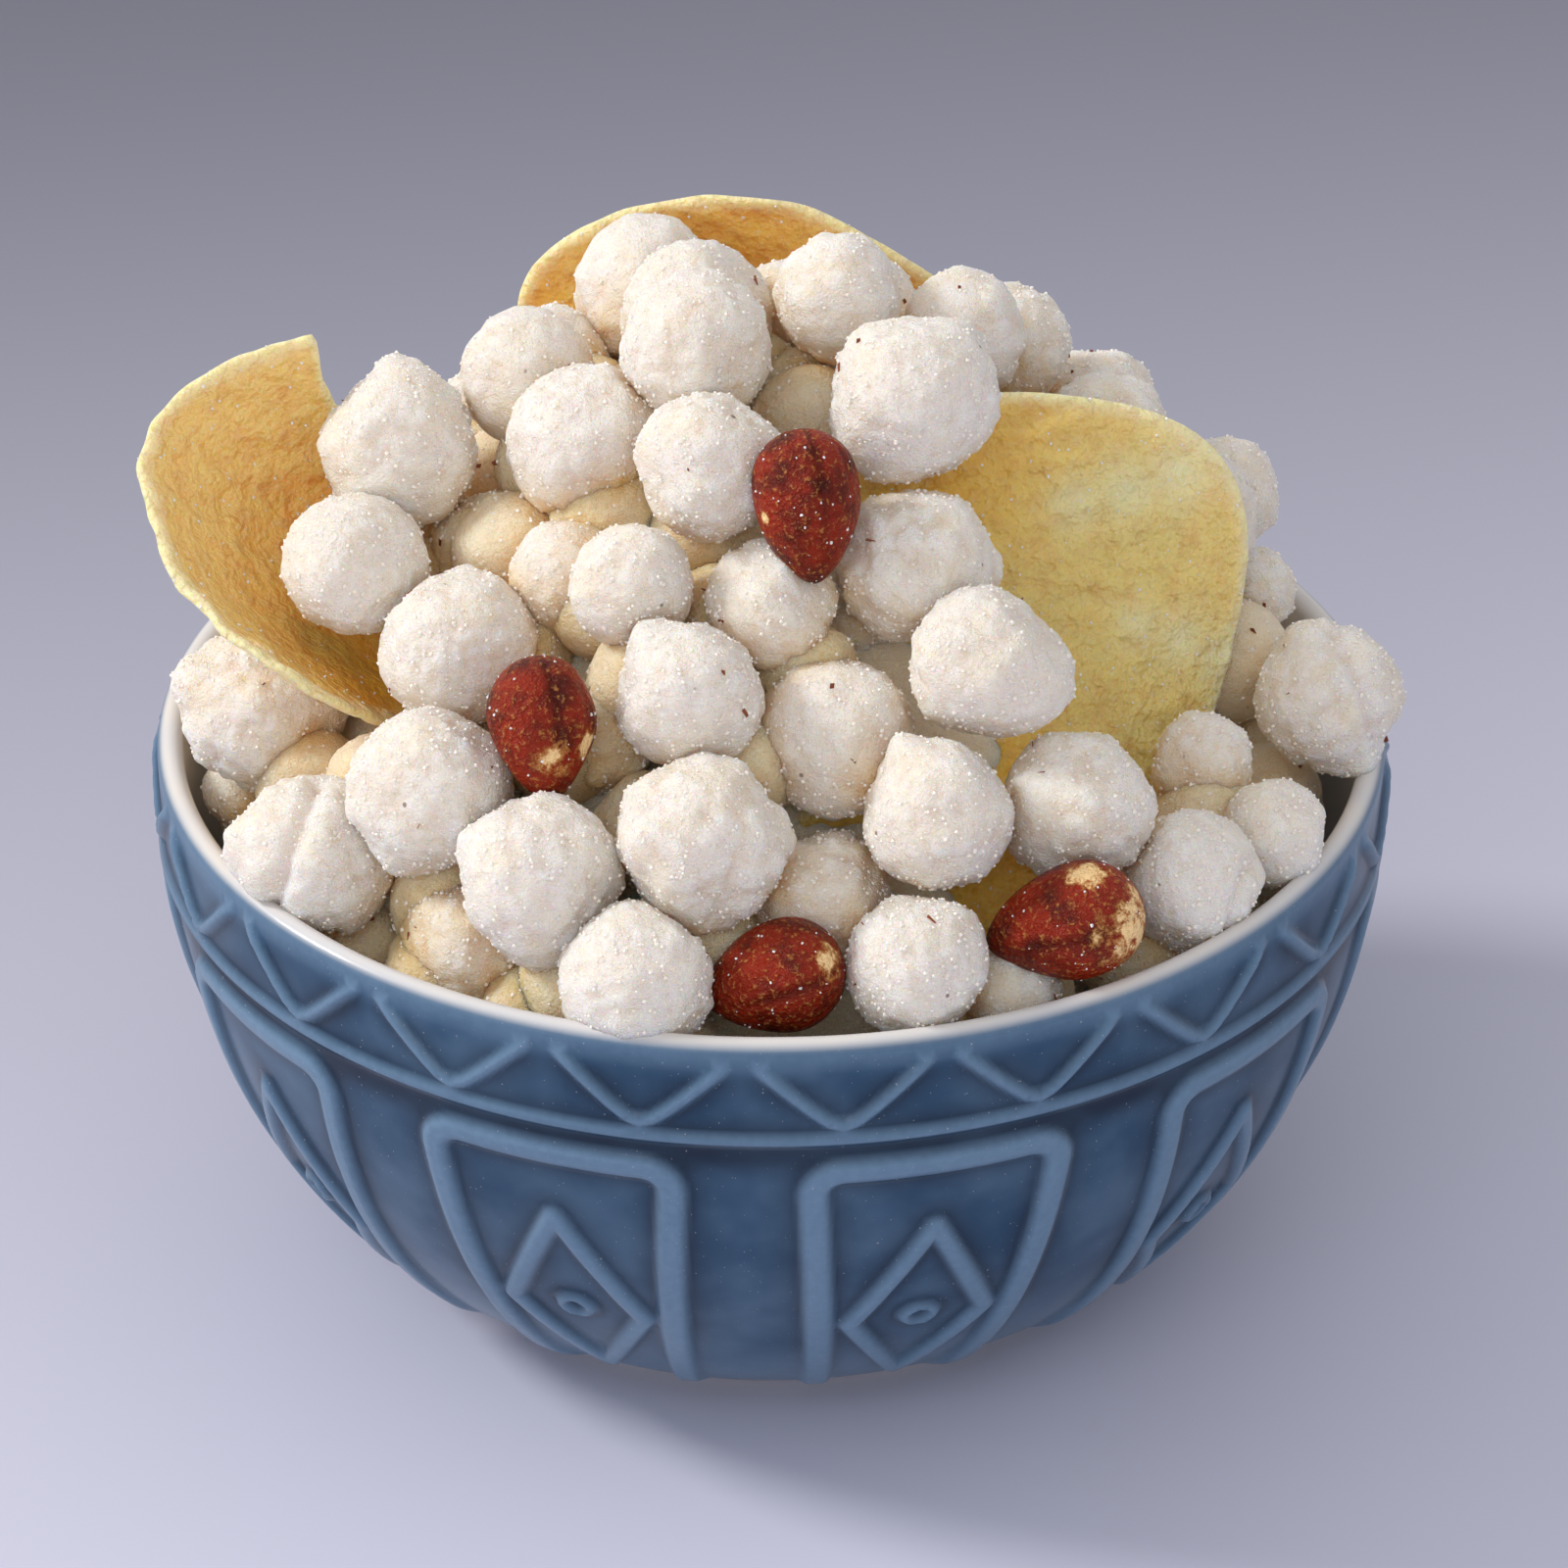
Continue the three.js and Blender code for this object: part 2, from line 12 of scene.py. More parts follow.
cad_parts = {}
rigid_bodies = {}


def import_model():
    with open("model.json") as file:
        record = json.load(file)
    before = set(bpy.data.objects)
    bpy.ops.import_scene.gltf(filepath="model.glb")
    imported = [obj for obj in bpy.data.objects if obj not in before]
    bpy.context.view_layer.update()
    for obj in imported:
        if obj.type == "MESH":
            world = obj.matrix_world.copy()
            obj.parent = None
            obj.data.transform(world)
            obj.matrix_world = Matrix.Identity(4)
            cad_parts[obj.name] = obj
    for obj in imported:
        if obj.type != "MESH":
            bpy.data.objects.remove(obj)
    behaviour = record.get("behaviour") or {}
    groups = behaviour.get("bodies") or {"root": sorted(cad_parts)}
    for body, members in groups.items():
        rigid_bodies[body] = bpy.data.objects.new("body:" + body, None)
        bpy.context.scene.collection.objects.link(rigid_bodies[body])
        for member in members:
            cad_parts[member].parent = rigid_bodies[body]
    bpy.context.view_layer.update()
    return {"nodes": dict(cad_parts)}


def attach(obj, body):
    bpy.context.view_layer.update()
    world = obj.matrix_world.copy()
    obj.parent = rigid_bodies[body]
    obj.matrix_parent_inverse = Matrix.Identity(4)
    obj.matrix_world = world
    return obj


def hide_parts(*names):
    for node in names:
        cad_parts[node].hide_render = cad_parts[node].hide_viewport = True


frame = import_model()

bl_info = {
    "name": "Bowl of Roasted Makhana",
    "version": (1, 0, 0),
    "blender": (4, 5, 0),
    "location": "3D View > Sidebar > Makhana",
    "description": "Builds a glazed bowl of puffs, crisps and peanuts, with its stage",
    "category": "Add Mesh",
}

MM = 0.001  # the sizes below are in millimetres
WELD = 0.002  # points nearer than this are one
BODY = "root"
HEAP_NODE = "makhana_heap"

# The bowl. Angles are in degrees from -Y towards +X, heights from the floor.
BOWL = dict(height=70.2, rim=75.0, foot=38.0, flare=2.29, fullness=1.46, start=2.2)
WALL = dict(rim=3.2, base=5.0, floor=6.6)
FOOT = dict(outer=41.5, inner=36.5, recess=1.6)
FIRST_LOW = 6.35  # where a zigzag has a low point
ZIGZAG = dict(count=20, low=59.0, high=67.6, width=1.5, apart=1.2, bend=0.16)
RING = dict(height=57.2, width=1.5)
PANELS = 10
PANEL = dict(top=52.3, bottom=5.2, half=11.6, foot_half=9.4, corner=3.4, squeeze=1.2, width=3.4)
DIAMOND = dict(top=42.1, middle=24.7, bottom=10.6, half=7.35, width=2.5)
DOT = dict(height=25.4, radius=1.8, width=1.4, squeeze=1.05)
RELIEF = 1.0
WHITE_ABOVE = 69.6
AROUND = 800  # points round the wall; the plain parts have a quarter as many
SPARSE = AROUND // 4
ROWS = dict(wall=104, lip=15, inside=26)
LIP = dict(below=3.2, rise=1.7, inside=2.6)
RELIEF_STARTS = (2.2, 9.0)  # heights between which the relief grows from the foot
RELIEF_ENDS = (65.5, 67.8)  # heights between which it sinks again,
RELIEF_LOST = 0.7  # by this share
RIDGE_EDGE = (-0.8, 0.7)  # a ridge falls off between these distances from its side
POOL = dict(starts=0.3, fade=1.7, pool_and_shadow_under_ring=3.2, spread=2.2, share=0.7)  # glaze beside a ridge
POOL_STARTS = (3.0, 12.0)
POOL_ENDS = (64.5, 67.0)
THIN_NEAR_LIP = (0.6, 65.8, 68.4)  # how light the glaze gets, and between which heights
# near the foot the glaze is painted lighter: a painted reflection of the floor
REFLECTION_NEAR_FOOT = (0.8, 4.0, 26.0)

# The way that the puffs lie: their centres are on this dome.
HEAP = dict(rim=68.0, rise=53.0, lean=0.25, reach=68.0)
FAR = dict(tries=1400, reach=64.0, front=9.0, crowding=0.86, rise=1.5, smallest=15.5, spread=3.5)
DEEP = dict(count=84, reach=60.0, smallest=13.0, spread=3.0, under=10.5, uneven=3.0, clear=0.5)
LOW_RING = dict(count=26, radius=61.0, height=60.0, uneven=3.0, smallest=12.0, spread=2.5, clear=5.0)
CORE = dict(reach=56.0, under=17.0, uneven=1.5, around=60, rings=13, bottom=34.0, narrower=0.93,
            dent=12.0, dent_width=13.0)
# painted shade and glow: puffs are coloured warmer and darker where they come together
NOOK = dict(reach=6.0, fade=2.4, out=-7.0, within=5.0)  # the warm shade where puffs come together
GOLDEN_ANGLE = 137.508

# Puffs by kind: across (x), back (y), up (z), diameter.
SMOOTH_PUFFS = {
    "crownBack": (-9, 14.5, 117.5, 18.5), "crownMiddle": (3.5, 23, 113, 15),
    "crownRight": (12, 31.5, 110, 12.5), "bigRight": (16.5, -9.5, 119, 20.5),
    "backLeft": (-27, 24, 105.5, 15.5), "backLeftLow": (-22.5, 34.5, 98.5, 12),
    "farLeft": (-35, 30, 95.5, 13.5), "nookMiddle": (4, 10, 108.5, 13.5),
    "chipLowLeft": (-49.5, -13.5, 99, 17), "deepLeft": (-34, -1, 93.5, 15.5),
    "deepCentre": (7.5, -36.5, 88.5, 19), "rimLeftNook": (-64.5, -8, 64, 9.5),
    "lowMiddle": (-15.5, -64, 72, 18), "rimRight": (49, -43.5, 73, 16.5),
    "rimRightFar": (59.5, -32.5, 73, 13), "rimRightNook": (57, -28, 64, 9.5),
    "leftTuck": (-62, 9, 74, 12), "leftGap": (-46, -33, 63, 10.5),
}
SHAPED_PUFFS = {
    "crownFront": (-9, -2, 122, 17.5), "upperLeft": (-22.5, -4.5, 110.5, 18.5),
    "chipTopLeft": (-44.5, 1, 107, 19.5), "upperMiddle": (-7, -16.5, 114, 17.5),
    "twinBack": (-23.5, -17.5, 99, 14), "twinFront": (-16.5, -27.5, 104, 14.5),
    "centre": (0, -27, 100.5, 16), "drop": (25, -36.5, 98.5, 18),
    "leftMiddle": (-37, -24.5, 94, 19), "heart": (-9.5, -39.5, 96, 17.5),
    "leftLow": (-40, -41, 84.5, 19), "frontLeft": (-27, -53.5, 79.5, 19),
    "frontRight": (19, -49.5, 85.5, 17.5), "rimLeft": (-54, -38, 73.5, 19),
    "lowRight": (16.5, -62, 73, 16.5),
}
CRAGGY_PUFFS = {
    "shoulderRight": (29, 22, 110, 15), "rightMiddle": (17, -22, 103.5, 18.5),
    "frontMiddle": (-8, -53, 84, 20), "brightRight": (35.5, -42, 82.5, 18),
    "rimLeftTop": (-61, -9.5, 77.5, 19.5), "lowLeft": (-35.5, -47, 66.5, 16),
    "lowCentre": (5.5, -49, 73, 17), "overRim": (67.5, -8, 77, 18),
    "overRimInner": (61, 11, 68, 14), "underChip": (51.5, -22, 75.5, 12),
    "behindChip": (56, 24, 87.5, 14.5), "behindChipLow": (59, 15.5, 79, 11),
    "behindChipTop": (40.5, 28, 98, 14.5), "byPeanut": (-20, -33, 86.5, 13),
    "nookGap": (-10, -13.5, 97, 13), "nookRight": (9, -18, 92, 11.5),
    "cornerRight": (27.5, -56.5, 67, 12.5),
}
# What marks a puff out, placed as seen from the front: the angle round its outline from the right,
# how far it turns to the viewer, how high or deep it is and how wide, as shares of the radius.
MARKS = {
    "crownFront": [("knob", 100, 10, 0.05, 0.4), ("flat", 330, 50, 0.93)],
    "bigRight": [("flat", 178, 10, 0.91), ("flat", 95, 20, 0.93), ("knob", 45, 0, 0.05, 0.5)],
    "upperLeft": [("flat", 110, 25, 0.9), ("knob", 20, 10, 0.08, 0.4), ("flat", 200, 20, 0.92)],
    "chipTopLeft": [("knob", 100, 0, 0.12, 0.28), ("flat", 140, 20, 0.9), ("flat", 25, 20, 0.9)],
    "upperMiddle": [("knob", -20, 20, 0.12, 0.5), ("flat", 60, 25, 0.88), ("flat", 200, 30, 0.93)],
    "twinFront": [("flat", -70, 30, 0.93)],
    "centre": [("flat", 135, 40, 0.85), ("flat", 20, 40, 0.88), ("crease", 50, 0.35, 0.05, 0.1)],
    "rightMiddle": [("flat", 100, 20, 0.88), ("crease", 30, 0.0, 0.05, 0.12)],
    "drop": [("knob", -25, 5, 0.22, 0.55), ("flat", 50, 20, 0.85), ("flat", 260, 10, 0.9)],
    "leftMiddle": [("flat", 100, 20, 0.86), ("knob", 25, 5, 0.06, 0.5), ("flat", 165, 15, 0.93)],
    "heart": [("knob", 128, 5, 0.2, 0.35), ("flat", 175, 15, 0.86), ("flat", 20, 10, 0.93)],
    "leftLow": [("knob", 250, 0, 0.1, 0.35), ("flat", 60, 15, 0.92), ("knob", 200, 5, 0.08, 0.3)],
    "frontLeft": [("knob", 155, 5, 0.14, 0.28), ("knob", 275, 0, 0.1, 0.3),
                  ("knob", 65, 10, 0.08, 0.4)],
    "frontMiddle": [("knob", 10, 0, 0.08, 0.3), ("flat", 210, 10, 0.92),
                    ("knob", 260, 5, 0.05, 0.3)],
    "frontRight": [("knob", 118, 5, 0.2, 0.3), ("flat", 160, 15, 0.88), ("flat", 40, 15, 0.93)],
    "rimLeftTop": [("knob", 165, 10, 0.2, 0.4), ("knob", 225, 10, 0.1, 0.4),
                   ("crease", 80, 0.45, 0.1, 0.12)],
    "rimLeft": [("crease", 160, 0.25, 0.17, 0.14), ("knob", 172, 10, 0.12, 0.3),
                ("knob", 90, 10, 0.06, 0.5)],
    "overRim": [("knob", 300, 5, 0.16, 0.35), ("knob", 110, 0, 0.12, 0.4),
                ("crease", 20, 0.4, 0.1, 0.12)],
    "rimRight": [("crease", 160, -0.75, 0.1, 0.1)],
    "lowRight": [("flat", 90, 20, 0.9), ("flat", 180, 15, 0.9), ("knob", 30, 5, 0.08, 0.4)],
}
# the puffs listed here get painted shade: their colour is made much warmer and darker
SHADED = ("deepLeft", "nookMiddle", "nookGap", "byPeanut")  # puffs in the shade of others
SHADED_TONE = 5.0  # how warm they are; the others are from 0 to 1
CRISP_SHOWN = (41.0, -27.0, 78.0)  # in front of the low end of the right crisp, which nothing covers
CRISP_SHOWN_WITHIN = 9.0
FLAT_EDGE = 0.13
BROAD_LUMP, SMALL_LUMP, UNEVEN_HOLLOW = 8.5, 3.6, 6.0  # how wide they are
FINE_LUMPS = ((0.015, 1.7), (0.011, 1.0))  # how high, as a share of the radius, and how wide
KINDS = {  # broad lumps, small lumps, cobbles, number of cobbles, flats
    "smooth": (0.030, 0.021, 0.020, 110, 4),
    "shaped": (0.034, 0.023, 0.030, 100, 2),
    "craggy": (0.046, 0.033, 0.064, 84, 1),
}

# Crisps: the middle, the turns about X, Y and Z, the half lengths, the bend along each and the twist.
# broken is a straight edge: its direction in degrees and how far out it lies. The spots are soft
# round spots of colour: the middle, the width and how strong. The golden ones are partly the slice's
# own deeper orange and partly a painted glow, where light would shine through; the palest ones, on
# the right crisp only, are painted light: patches of light falling between the puffs.
CRISPS = {
    "chip_left": dict(at=(-56.5, 4.5, 92.5), turn=(60.3, 27, 27.5), half=(26.7, 23.5),
                      bend=(0.14, 0.86), twist=0.4, broken=(51, 0.43),
                      golden_glow=((-50, -12, 76, 17, 1.0), (-58, 8, 93, 8, 0.3), (-44, 6, 86, 12, 0.9))),
    "chip_right": dict(at=(28.8, -12.5, 89.6), turn=(52, -2, 32.5), half=(31.6, 28),
                       bend=(0.13, 0.04), twist=0.44, broken=(180, 0.5),
                       golden_glow=((20, -8, 109, 14, 0.7), (25, -30, 82, 14, 0.8)),
                       painted_light=((36.7, -2.3, 100.7, 3.5, 0.8), (42.7, 1.1, 101.2, 4, 1.0),
                            (49.3, 1.6, 103.1, 4.5, 1.0), (44.2, -7.2, 87.1, 3, 0.7),
                            (48.8, -4.5, 83.5, 3.5, 1.0), (54, -2.9, 80.2, 4, 0.9))),
    "chip_back": dict(at=(-3, 40, 98.2), turn=(82.3, 3, -9), half=(29.6, 22.5),
                      bend=(-0.01, 0.16), twist=-0.045, broken=None,
                      golden_glow=((-32, 40, 104, 9, 0.9), (-4, 38, 108, 34, 0.5))),
    "chip_low": dict(at=(14.5, -42.5, 71), turn=(52, 0, 4), half=(20, 12),
                     bend=(0.08, 0.05), twist=0, broken=None,
                     golden_glow=((14, -42, 71, 24, 0.8),)),
}
CRISP_NET = dict(rings=72, sectors=200)
CRISP_EDGE = dict(round=0.9, pale_from=0.2, pale_to=2.2)  # how far in from the edge
CRINKLES = ((0.20, 1.8, 24), (0.16, 3.2, 18))  # how high and how wide across the slice, and how many
CRINKLE_LENGTH = 0.45  # they are longer than wide by this share
WARP = (0.30, 11.0)
BLISTER = (0.10, 2.2, 16)
# Peanuts: the middle, the direction of the blunt end, the half length and the half width.
PEANUTS = {
    "peanut_top": ((4.2, -25.5, 113.5), (-0.1, 0.5, 0.85), (9.1, 6.5)),
    "peanut_left": ((-26.5, -42, 93.2), (-0.12, 0.5, 0.85), (8.5, 6.4)),
    "peanut_front": ((0.5, -61.9, 71.2), (0.93, 0.1, 0.3), (8.4, 6.7)),
    "peanut_right": ((34.2, -56.5, 75.2), (0.96, 0.1, 0.22), (9.4, 6.9)),
}
PEANUT_NET = dict(rows=72, columns=96)
PEANUT_FORM = dict(width=0.95, length=0.97, pear=0.2, wrinkle=0.012, lump=0.025, tip=0.5, tip_width=0.35)
PEANUT_CREASE = dict(at=0.35, width=0.13, depth=0.07)
# Where the skin has come off: as seen from the front, and how large.
PEELS = {
    "peanut_top": [(200, 30, 0.15)],
    "peanut_left": [(290, 50, 0.4), (340, 25, 0.35)],
    "peanut_front": [(20, 35, 0.3)],
    "peanut_right": [(355, 25, 0.62), (70, 30, 0.4)],
}

# Salt, crumbs and slivers: how many for each square metre of what they lie on.
GRAINS_PER_AREA = {
    "salt_on_makhana": 1.2e5, "salt_on_crisps": 8e4, "salt_on_peanuts": 9e4,
    "crumbs_on_makhana": 3.4e5, "crumbs_at_back": 1.3e5, "skin_slivers": 2.2e3,
}
SMALLEST_GRAIN = 0.35  # as a share of the largest
FULL_TURNS = (6.28, 6.28, 6.28)

# The viewer's axes, for what is placed as seen from the front.
RIGHT = np.array((1.0, 0.0, 0.0))
UP = np.array((0.0, 0.512, 0.859))
NEAR = np.array((0.0, -0.859, 0.512))

EYE = (0.0, -0.8001, 0.5368)
LOOK_AT = (0.00157, 0.0, 0.06034)
LENS = 173.78
SENSOR = 36.0
AIM = (0.0, 0.0, 0.06)
KEY = dict(place=(-1.96, 0.3, 1.52), size=0.6, tint=(1.0, 0.97, 0.94))
FILL = dict(place=(-0.35, -1.3, 0.9), size=1.2, tint=(0.93, 0.95, 1.0))
SKY_TINT = (0.96, 0.96, 1.0)
# the floor is coloured lighter in front and darker behind, slanting across: painted falloff of the light
FLOOR = dict(half=3000.0, level=-0.05, near=-0.25, far=0.5, slant=0.25)


# ---- numbers --------------------------------------------------------------------------------
def unit(vectors):
    vectors = np.asarray(vectors, float)
    return vectors / np.linalg.norm(vectors, axis=-1, keepdims=True)


def smooth(low, high, values):
    """From 0 below low to 1 above high, without corners."""
    share = np.clip((values - low) / (high - low), 0.0, 1.0)
    return share * share * (3 - 2 * share)


def scatter(n):
    """A repeatable number from 0 to 1 for each whole number."""
    wave = math.sin(n * 12.9898 + 4.1414) * 43758.5453
    return wave - math.floor(wave)


def waves(points, seed, size, count=12):
    """Even, smooth bumps about that size across."""
    rng = np.random.default_rng(seed)
    paths = unit(rng.normal(size=(count, 3)))
    paths *= (math.pi / (size * rng.uniform(0.75, 1.3, count)))[:, None]
    phases = rng.uniform(0, 2 * math.pi, count)
    return np.sin(points @ paths.T + phases).sum(axis=1) / math.sqrt(count)


def seen(angle, near):
    """The direction of a place on a puff or nut as seen from the front."""
    a, n = math.radians(angle), math.radians(near)
    return math.cos(n) * (math.cos(a) * RIGHT + math.sin(a) * UP) + math.sin(n) * NEAR


def sunflower(n, count, reach):
    """The place of the nth of so many points, spread evenly over a disc."""
    radius = reach * math.sqrt(n / count)
    angle = math.radians(GOLDEN_ANGLE * n)
    return radius * math.sin(angle), -radius * math.cos(angle)


def patches(points, spots):
    """How much each point lies in soft round spots of (x, y, z, width, strength)."""
    most = np.zeros(len(points))
    for *spot, wide, strength in spots:
        away = np.linalg.norm(points - np.array(spot), axis=1)
        most = np.maximum(most, strength * np.exp(-((away / wide) ** 2)))
    return most


# ---- meshes ---------------------------------------------------------------------------------
def grid_faces(rows, columns, closed):
    """Quads between rows of points, turned so that they face out when columns run anticlockwise."""
    across = columns if closed else columns - 1
    row, column = np.meshgrid(np.arange(rows - 1), np.arange(across), indexing="ij")
    beside = (column + 1) % columns
    corners = (row * columns + column, row * columns + beside,
               (row + 1) * columns + beside, (row + 1) * columns + column)
    return np.stack(corners, axis=-1).reshape(-1, 4)


def ball(divisions):
    """A sphere of even quads: the directions of its points, and its faces."""
    steps = np.tan(np.linspace(-math.pi / 4, math.pi / 4, divisions + 1))
    a, b = (g.ravel() for g in np.meshgrid(steps, steps, indexing="ij"))
    one = np.ones_like(a)
    sides = [(one, a, b), (-one, b, a), (b, one, a), (a, -one, b), (a, b, one), (b, a, -one)]
    points = unit(np.concatenate([np.stack(side, axis=1) for side in sides]))
    flat = grid_faces(divisions + 1, divisions + 1, False)[:, ::-1]
    faces = np.concatenate([flat + i * (divisions + 1) ** 2 for i in range(6)])
    _, first, place = np.unique(np.round(points, 6), axis=0, return_index=True, return_inverse=True)
    points, faces = points[first], place.ravel()[faces]
    corner = points[faces]
    normal = np.cross(corner[:, 1] - corner[:, 0], corner[:, 2] - corner[:, 0])
    inward = (normal * corner[:, 0]).sum(axis=1) < 0
    faces[inward] = faces[inward][:, ::-1]
    return points, faces


def join(parts):
    """Several (points, faces) as one."""
    offsets = np.cumsum([0] + [len(points) for points, _ in parts[:-1]])
    return (np.concatenate([points for points, _ in parts]),
            np.concatenate([faces + offset for (_, faces), offset in zip(parts, offsets)]))


def new_mesh(name, points, faces, attributes=None):
    """A smooth mesh from points in millimetres."""
    mesh = bpy.data.meshes.new(name)
    mesh.vertices.add(len(points))
    mesh.vertices.foreach_set("co", (np.asarray(points) * MM).astype(np.float32).ravel())
    mesh.loops.add(faces.size)
    mesh.loops.foreach_set("vertex_index", faces.astype(np.int32).ravel())
    mesh.polygons.add(len(faces))
    mesh.polygons.foreach_set("loop_start", np.arange(0, faces.size, faces.shape[1], dtype=np.int32))
    mesh.update(calc_edges=True)
    for key, values in (attributes or {}).items():
        attribute = mesh.attributes.new(key, "FLOAT", "POINT")
        attribute.data.foreach_set("value", np.asarray(values, np.float32))
    welded = bmesh.new()
    welded.from_mesh(mesh)
    bmesh.ops.remove_doubles(welded, verts=welded.verts, dist=WELD * MM)
    welded.to_mesh(mesh)
    welded.free()
    mesh.shade_smooth()
    return mesh


def add_piece(name, mesh, material, slot, *nodes):
    """Puts a mesh in the scene as a finished piece of the object."""
    piece = bpy.data.objects.new(name, mesh)
    bpy.context.scene.collection.objects.link(piece)
    if material:
        mesh.materials.clear()
        mesh.materials.append(material)
    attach(piece, BODY)
    if nodes:
        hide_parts(*nodes)
    return piece


# ---- node trees -----------------------------------------------------------------------------
class Nodes:
    """Adds nodes to a shader or geometry tree and joins them."""

    def __init__(self, tree):
        self.tree = tree

    def add(self, kind, inputs=None, **settings):
        node = self.tree.nodes.new(kind)
        for key, value in settings.items():
            setattr(node, key, value)
        for key, value in (inputs or {}).items():
            if isinstance(value, bpy.types.NodeSocket):
                self.tree.links.new(value, node.inputs[key])
            else:
                node.inputs[key].default_value = value
        return node

    def math(self, operation, a, b=0.0):
        return self.add("ShaderNodeMath", {0: a, 1: b}, operation=operation).outputs[0]

    def noise(self, place, scale, detail=3.0, roughness=0.55):
        sockets = {"Vector": place, "Scale": scale, "Detail": detail, "Roughness": roughness}
        return self.add("ShaderNodeTexNoise", sockets).outputs["Fac"]

    def span(self, value, low, high, start=0.0, end=1.0):
        sockets = {"Value": value, "From Min": low, "From Max": high, "To Min": start, "To Max": end}
        return self.add("ShaderNodeMapRange", sockets, interpolation_type="SMOOTHSTEP").outputs[0]

    def mix(self, share, a, b, blend="MIX"):
        node = self.add("ShaderNodeMix", data_type="RGBA", blend_type=blend)
        for key, value in ((0, share), (6, a), (7, b)):
            if isinstance(value, bpy.types.NodeSocket):
                self.tree.links.new(value, node.inputs[key])
            else:
                node.inputs[key].default_value = value if key == 0 else (*value, 1.0)
        return node.outputs[2]

    def attribute(self, name):
        return self.add("ShaderNodeAttribute", attribute_name=name).outputs["Fac"]

    def bump(self, height, distance, strength, normal=None):
        sockets = {"Height": height, "Distance": distance, "Strength": strength}
        if normal:
            sockets["Normal"] = normal
        return self.add("ShaderNodeBump", sockets).outputs["Normal"]


def new_material(name, **plain):
    """A Principled material with its uniform values set: returns it, its nodes, shader and place."""
    material = bpy.data.materials.new(name)
    material.use_nodes = True
    nodes = Nodes(material.node_tree)
    shader = material.node_tree.nodes["Principled BSDF"]
    for key, value in plain.items():
        shader.inputs[key.replace("_", " ")].default_value = value
    place = nodes.add("ShaderNodeTexCoord").outputs["Object"]
    return material, nodes, shader, place


def finish_material(nodes, shader, **sockets):
    for key, value in sockets.items():
        nodes.tree.links.new(value, shader.inputs[key.replace("_", " ")])


def colour(name, description, default):
    return FloatVectorProperty(name=name, description=description, default=default, subtype="COLOR",
                               size=3, min=0.0, max=1.0)


def length(name, description, default):
    return FloatProperty(name=name, description=description, default=default, unit="LENGTH")


def power(name, description, default):
    return FloatProperty(name=name, description=description, default=default, unit="POWER")


# ---- the bowl -------------------------------------------------------------------------------
class BowlSettings(bpy.types.PropertyGroup):
    relief: length("Relief", "Height of the ridges on the wall", RELIEF * MM)
    glaze: colour("Glaze", "The glaze between the ridges", (0.016, 0.058, 0.122))
    # also the darker band under the ring, which is partly a painted shadow beneath the ring's step
    pooled: colour("Pooled glaze", "The glaze where it has run together", (0.002, 0.012, 0.033))
    # this colour also serves the thin glaze near the lip and the painted reflection of the floor near
    # the foot
    thin: colour("Thin glaze", "The glaze where it breaks over a ridge", (0.135, 0.225, 0.330))
    white: colour("White glaze", "The lip, the inside and the foot", (0.64, 0.63, 0.63))
    cream: colour("Cream glaze", "Clouds in the white", (0.70, 0.66, 0.61))


def outer_radius(z):
    open_share = 1 - (1 - z / BOWL["height"]) ** BOWL["flare"]
    return BOWL["foot"] + (BOWL["rim"] - BOWL["foot"]) * open_share ** (1 / BOWL["fullness"])


def inner_radius(z):
    return outer_radius(z) - (WALL["base"] + (WALL["rim"] - WALL["base"]) * z / BOWL["height"])


def distance_to_path(x, s, path, radius, rise):
    """From points of the wall at (x along it, s up it) to a path of (degrees, height) corners."""
    nearest = np.full(x.shape, 1e9)
    for (a0, z0), (a1, z1) in zip(path[:-1], path[1:]):
        x0, x1 = np.radians(a0) * radius, np.radians(a1) * radius
        s0, s1 = rise(z0), rise(z1)
        dx, ds = x1 - x0, s1 - s0
        t = np.clip(((x - x0) * dx + (s - s0) * ds) / (dx * dx + ds * ds), 0, 1)
        nearest = np.minimum(nearest, np.hypot(x - x0 - t * dx, s - s0 - t * ds))
    return nearest


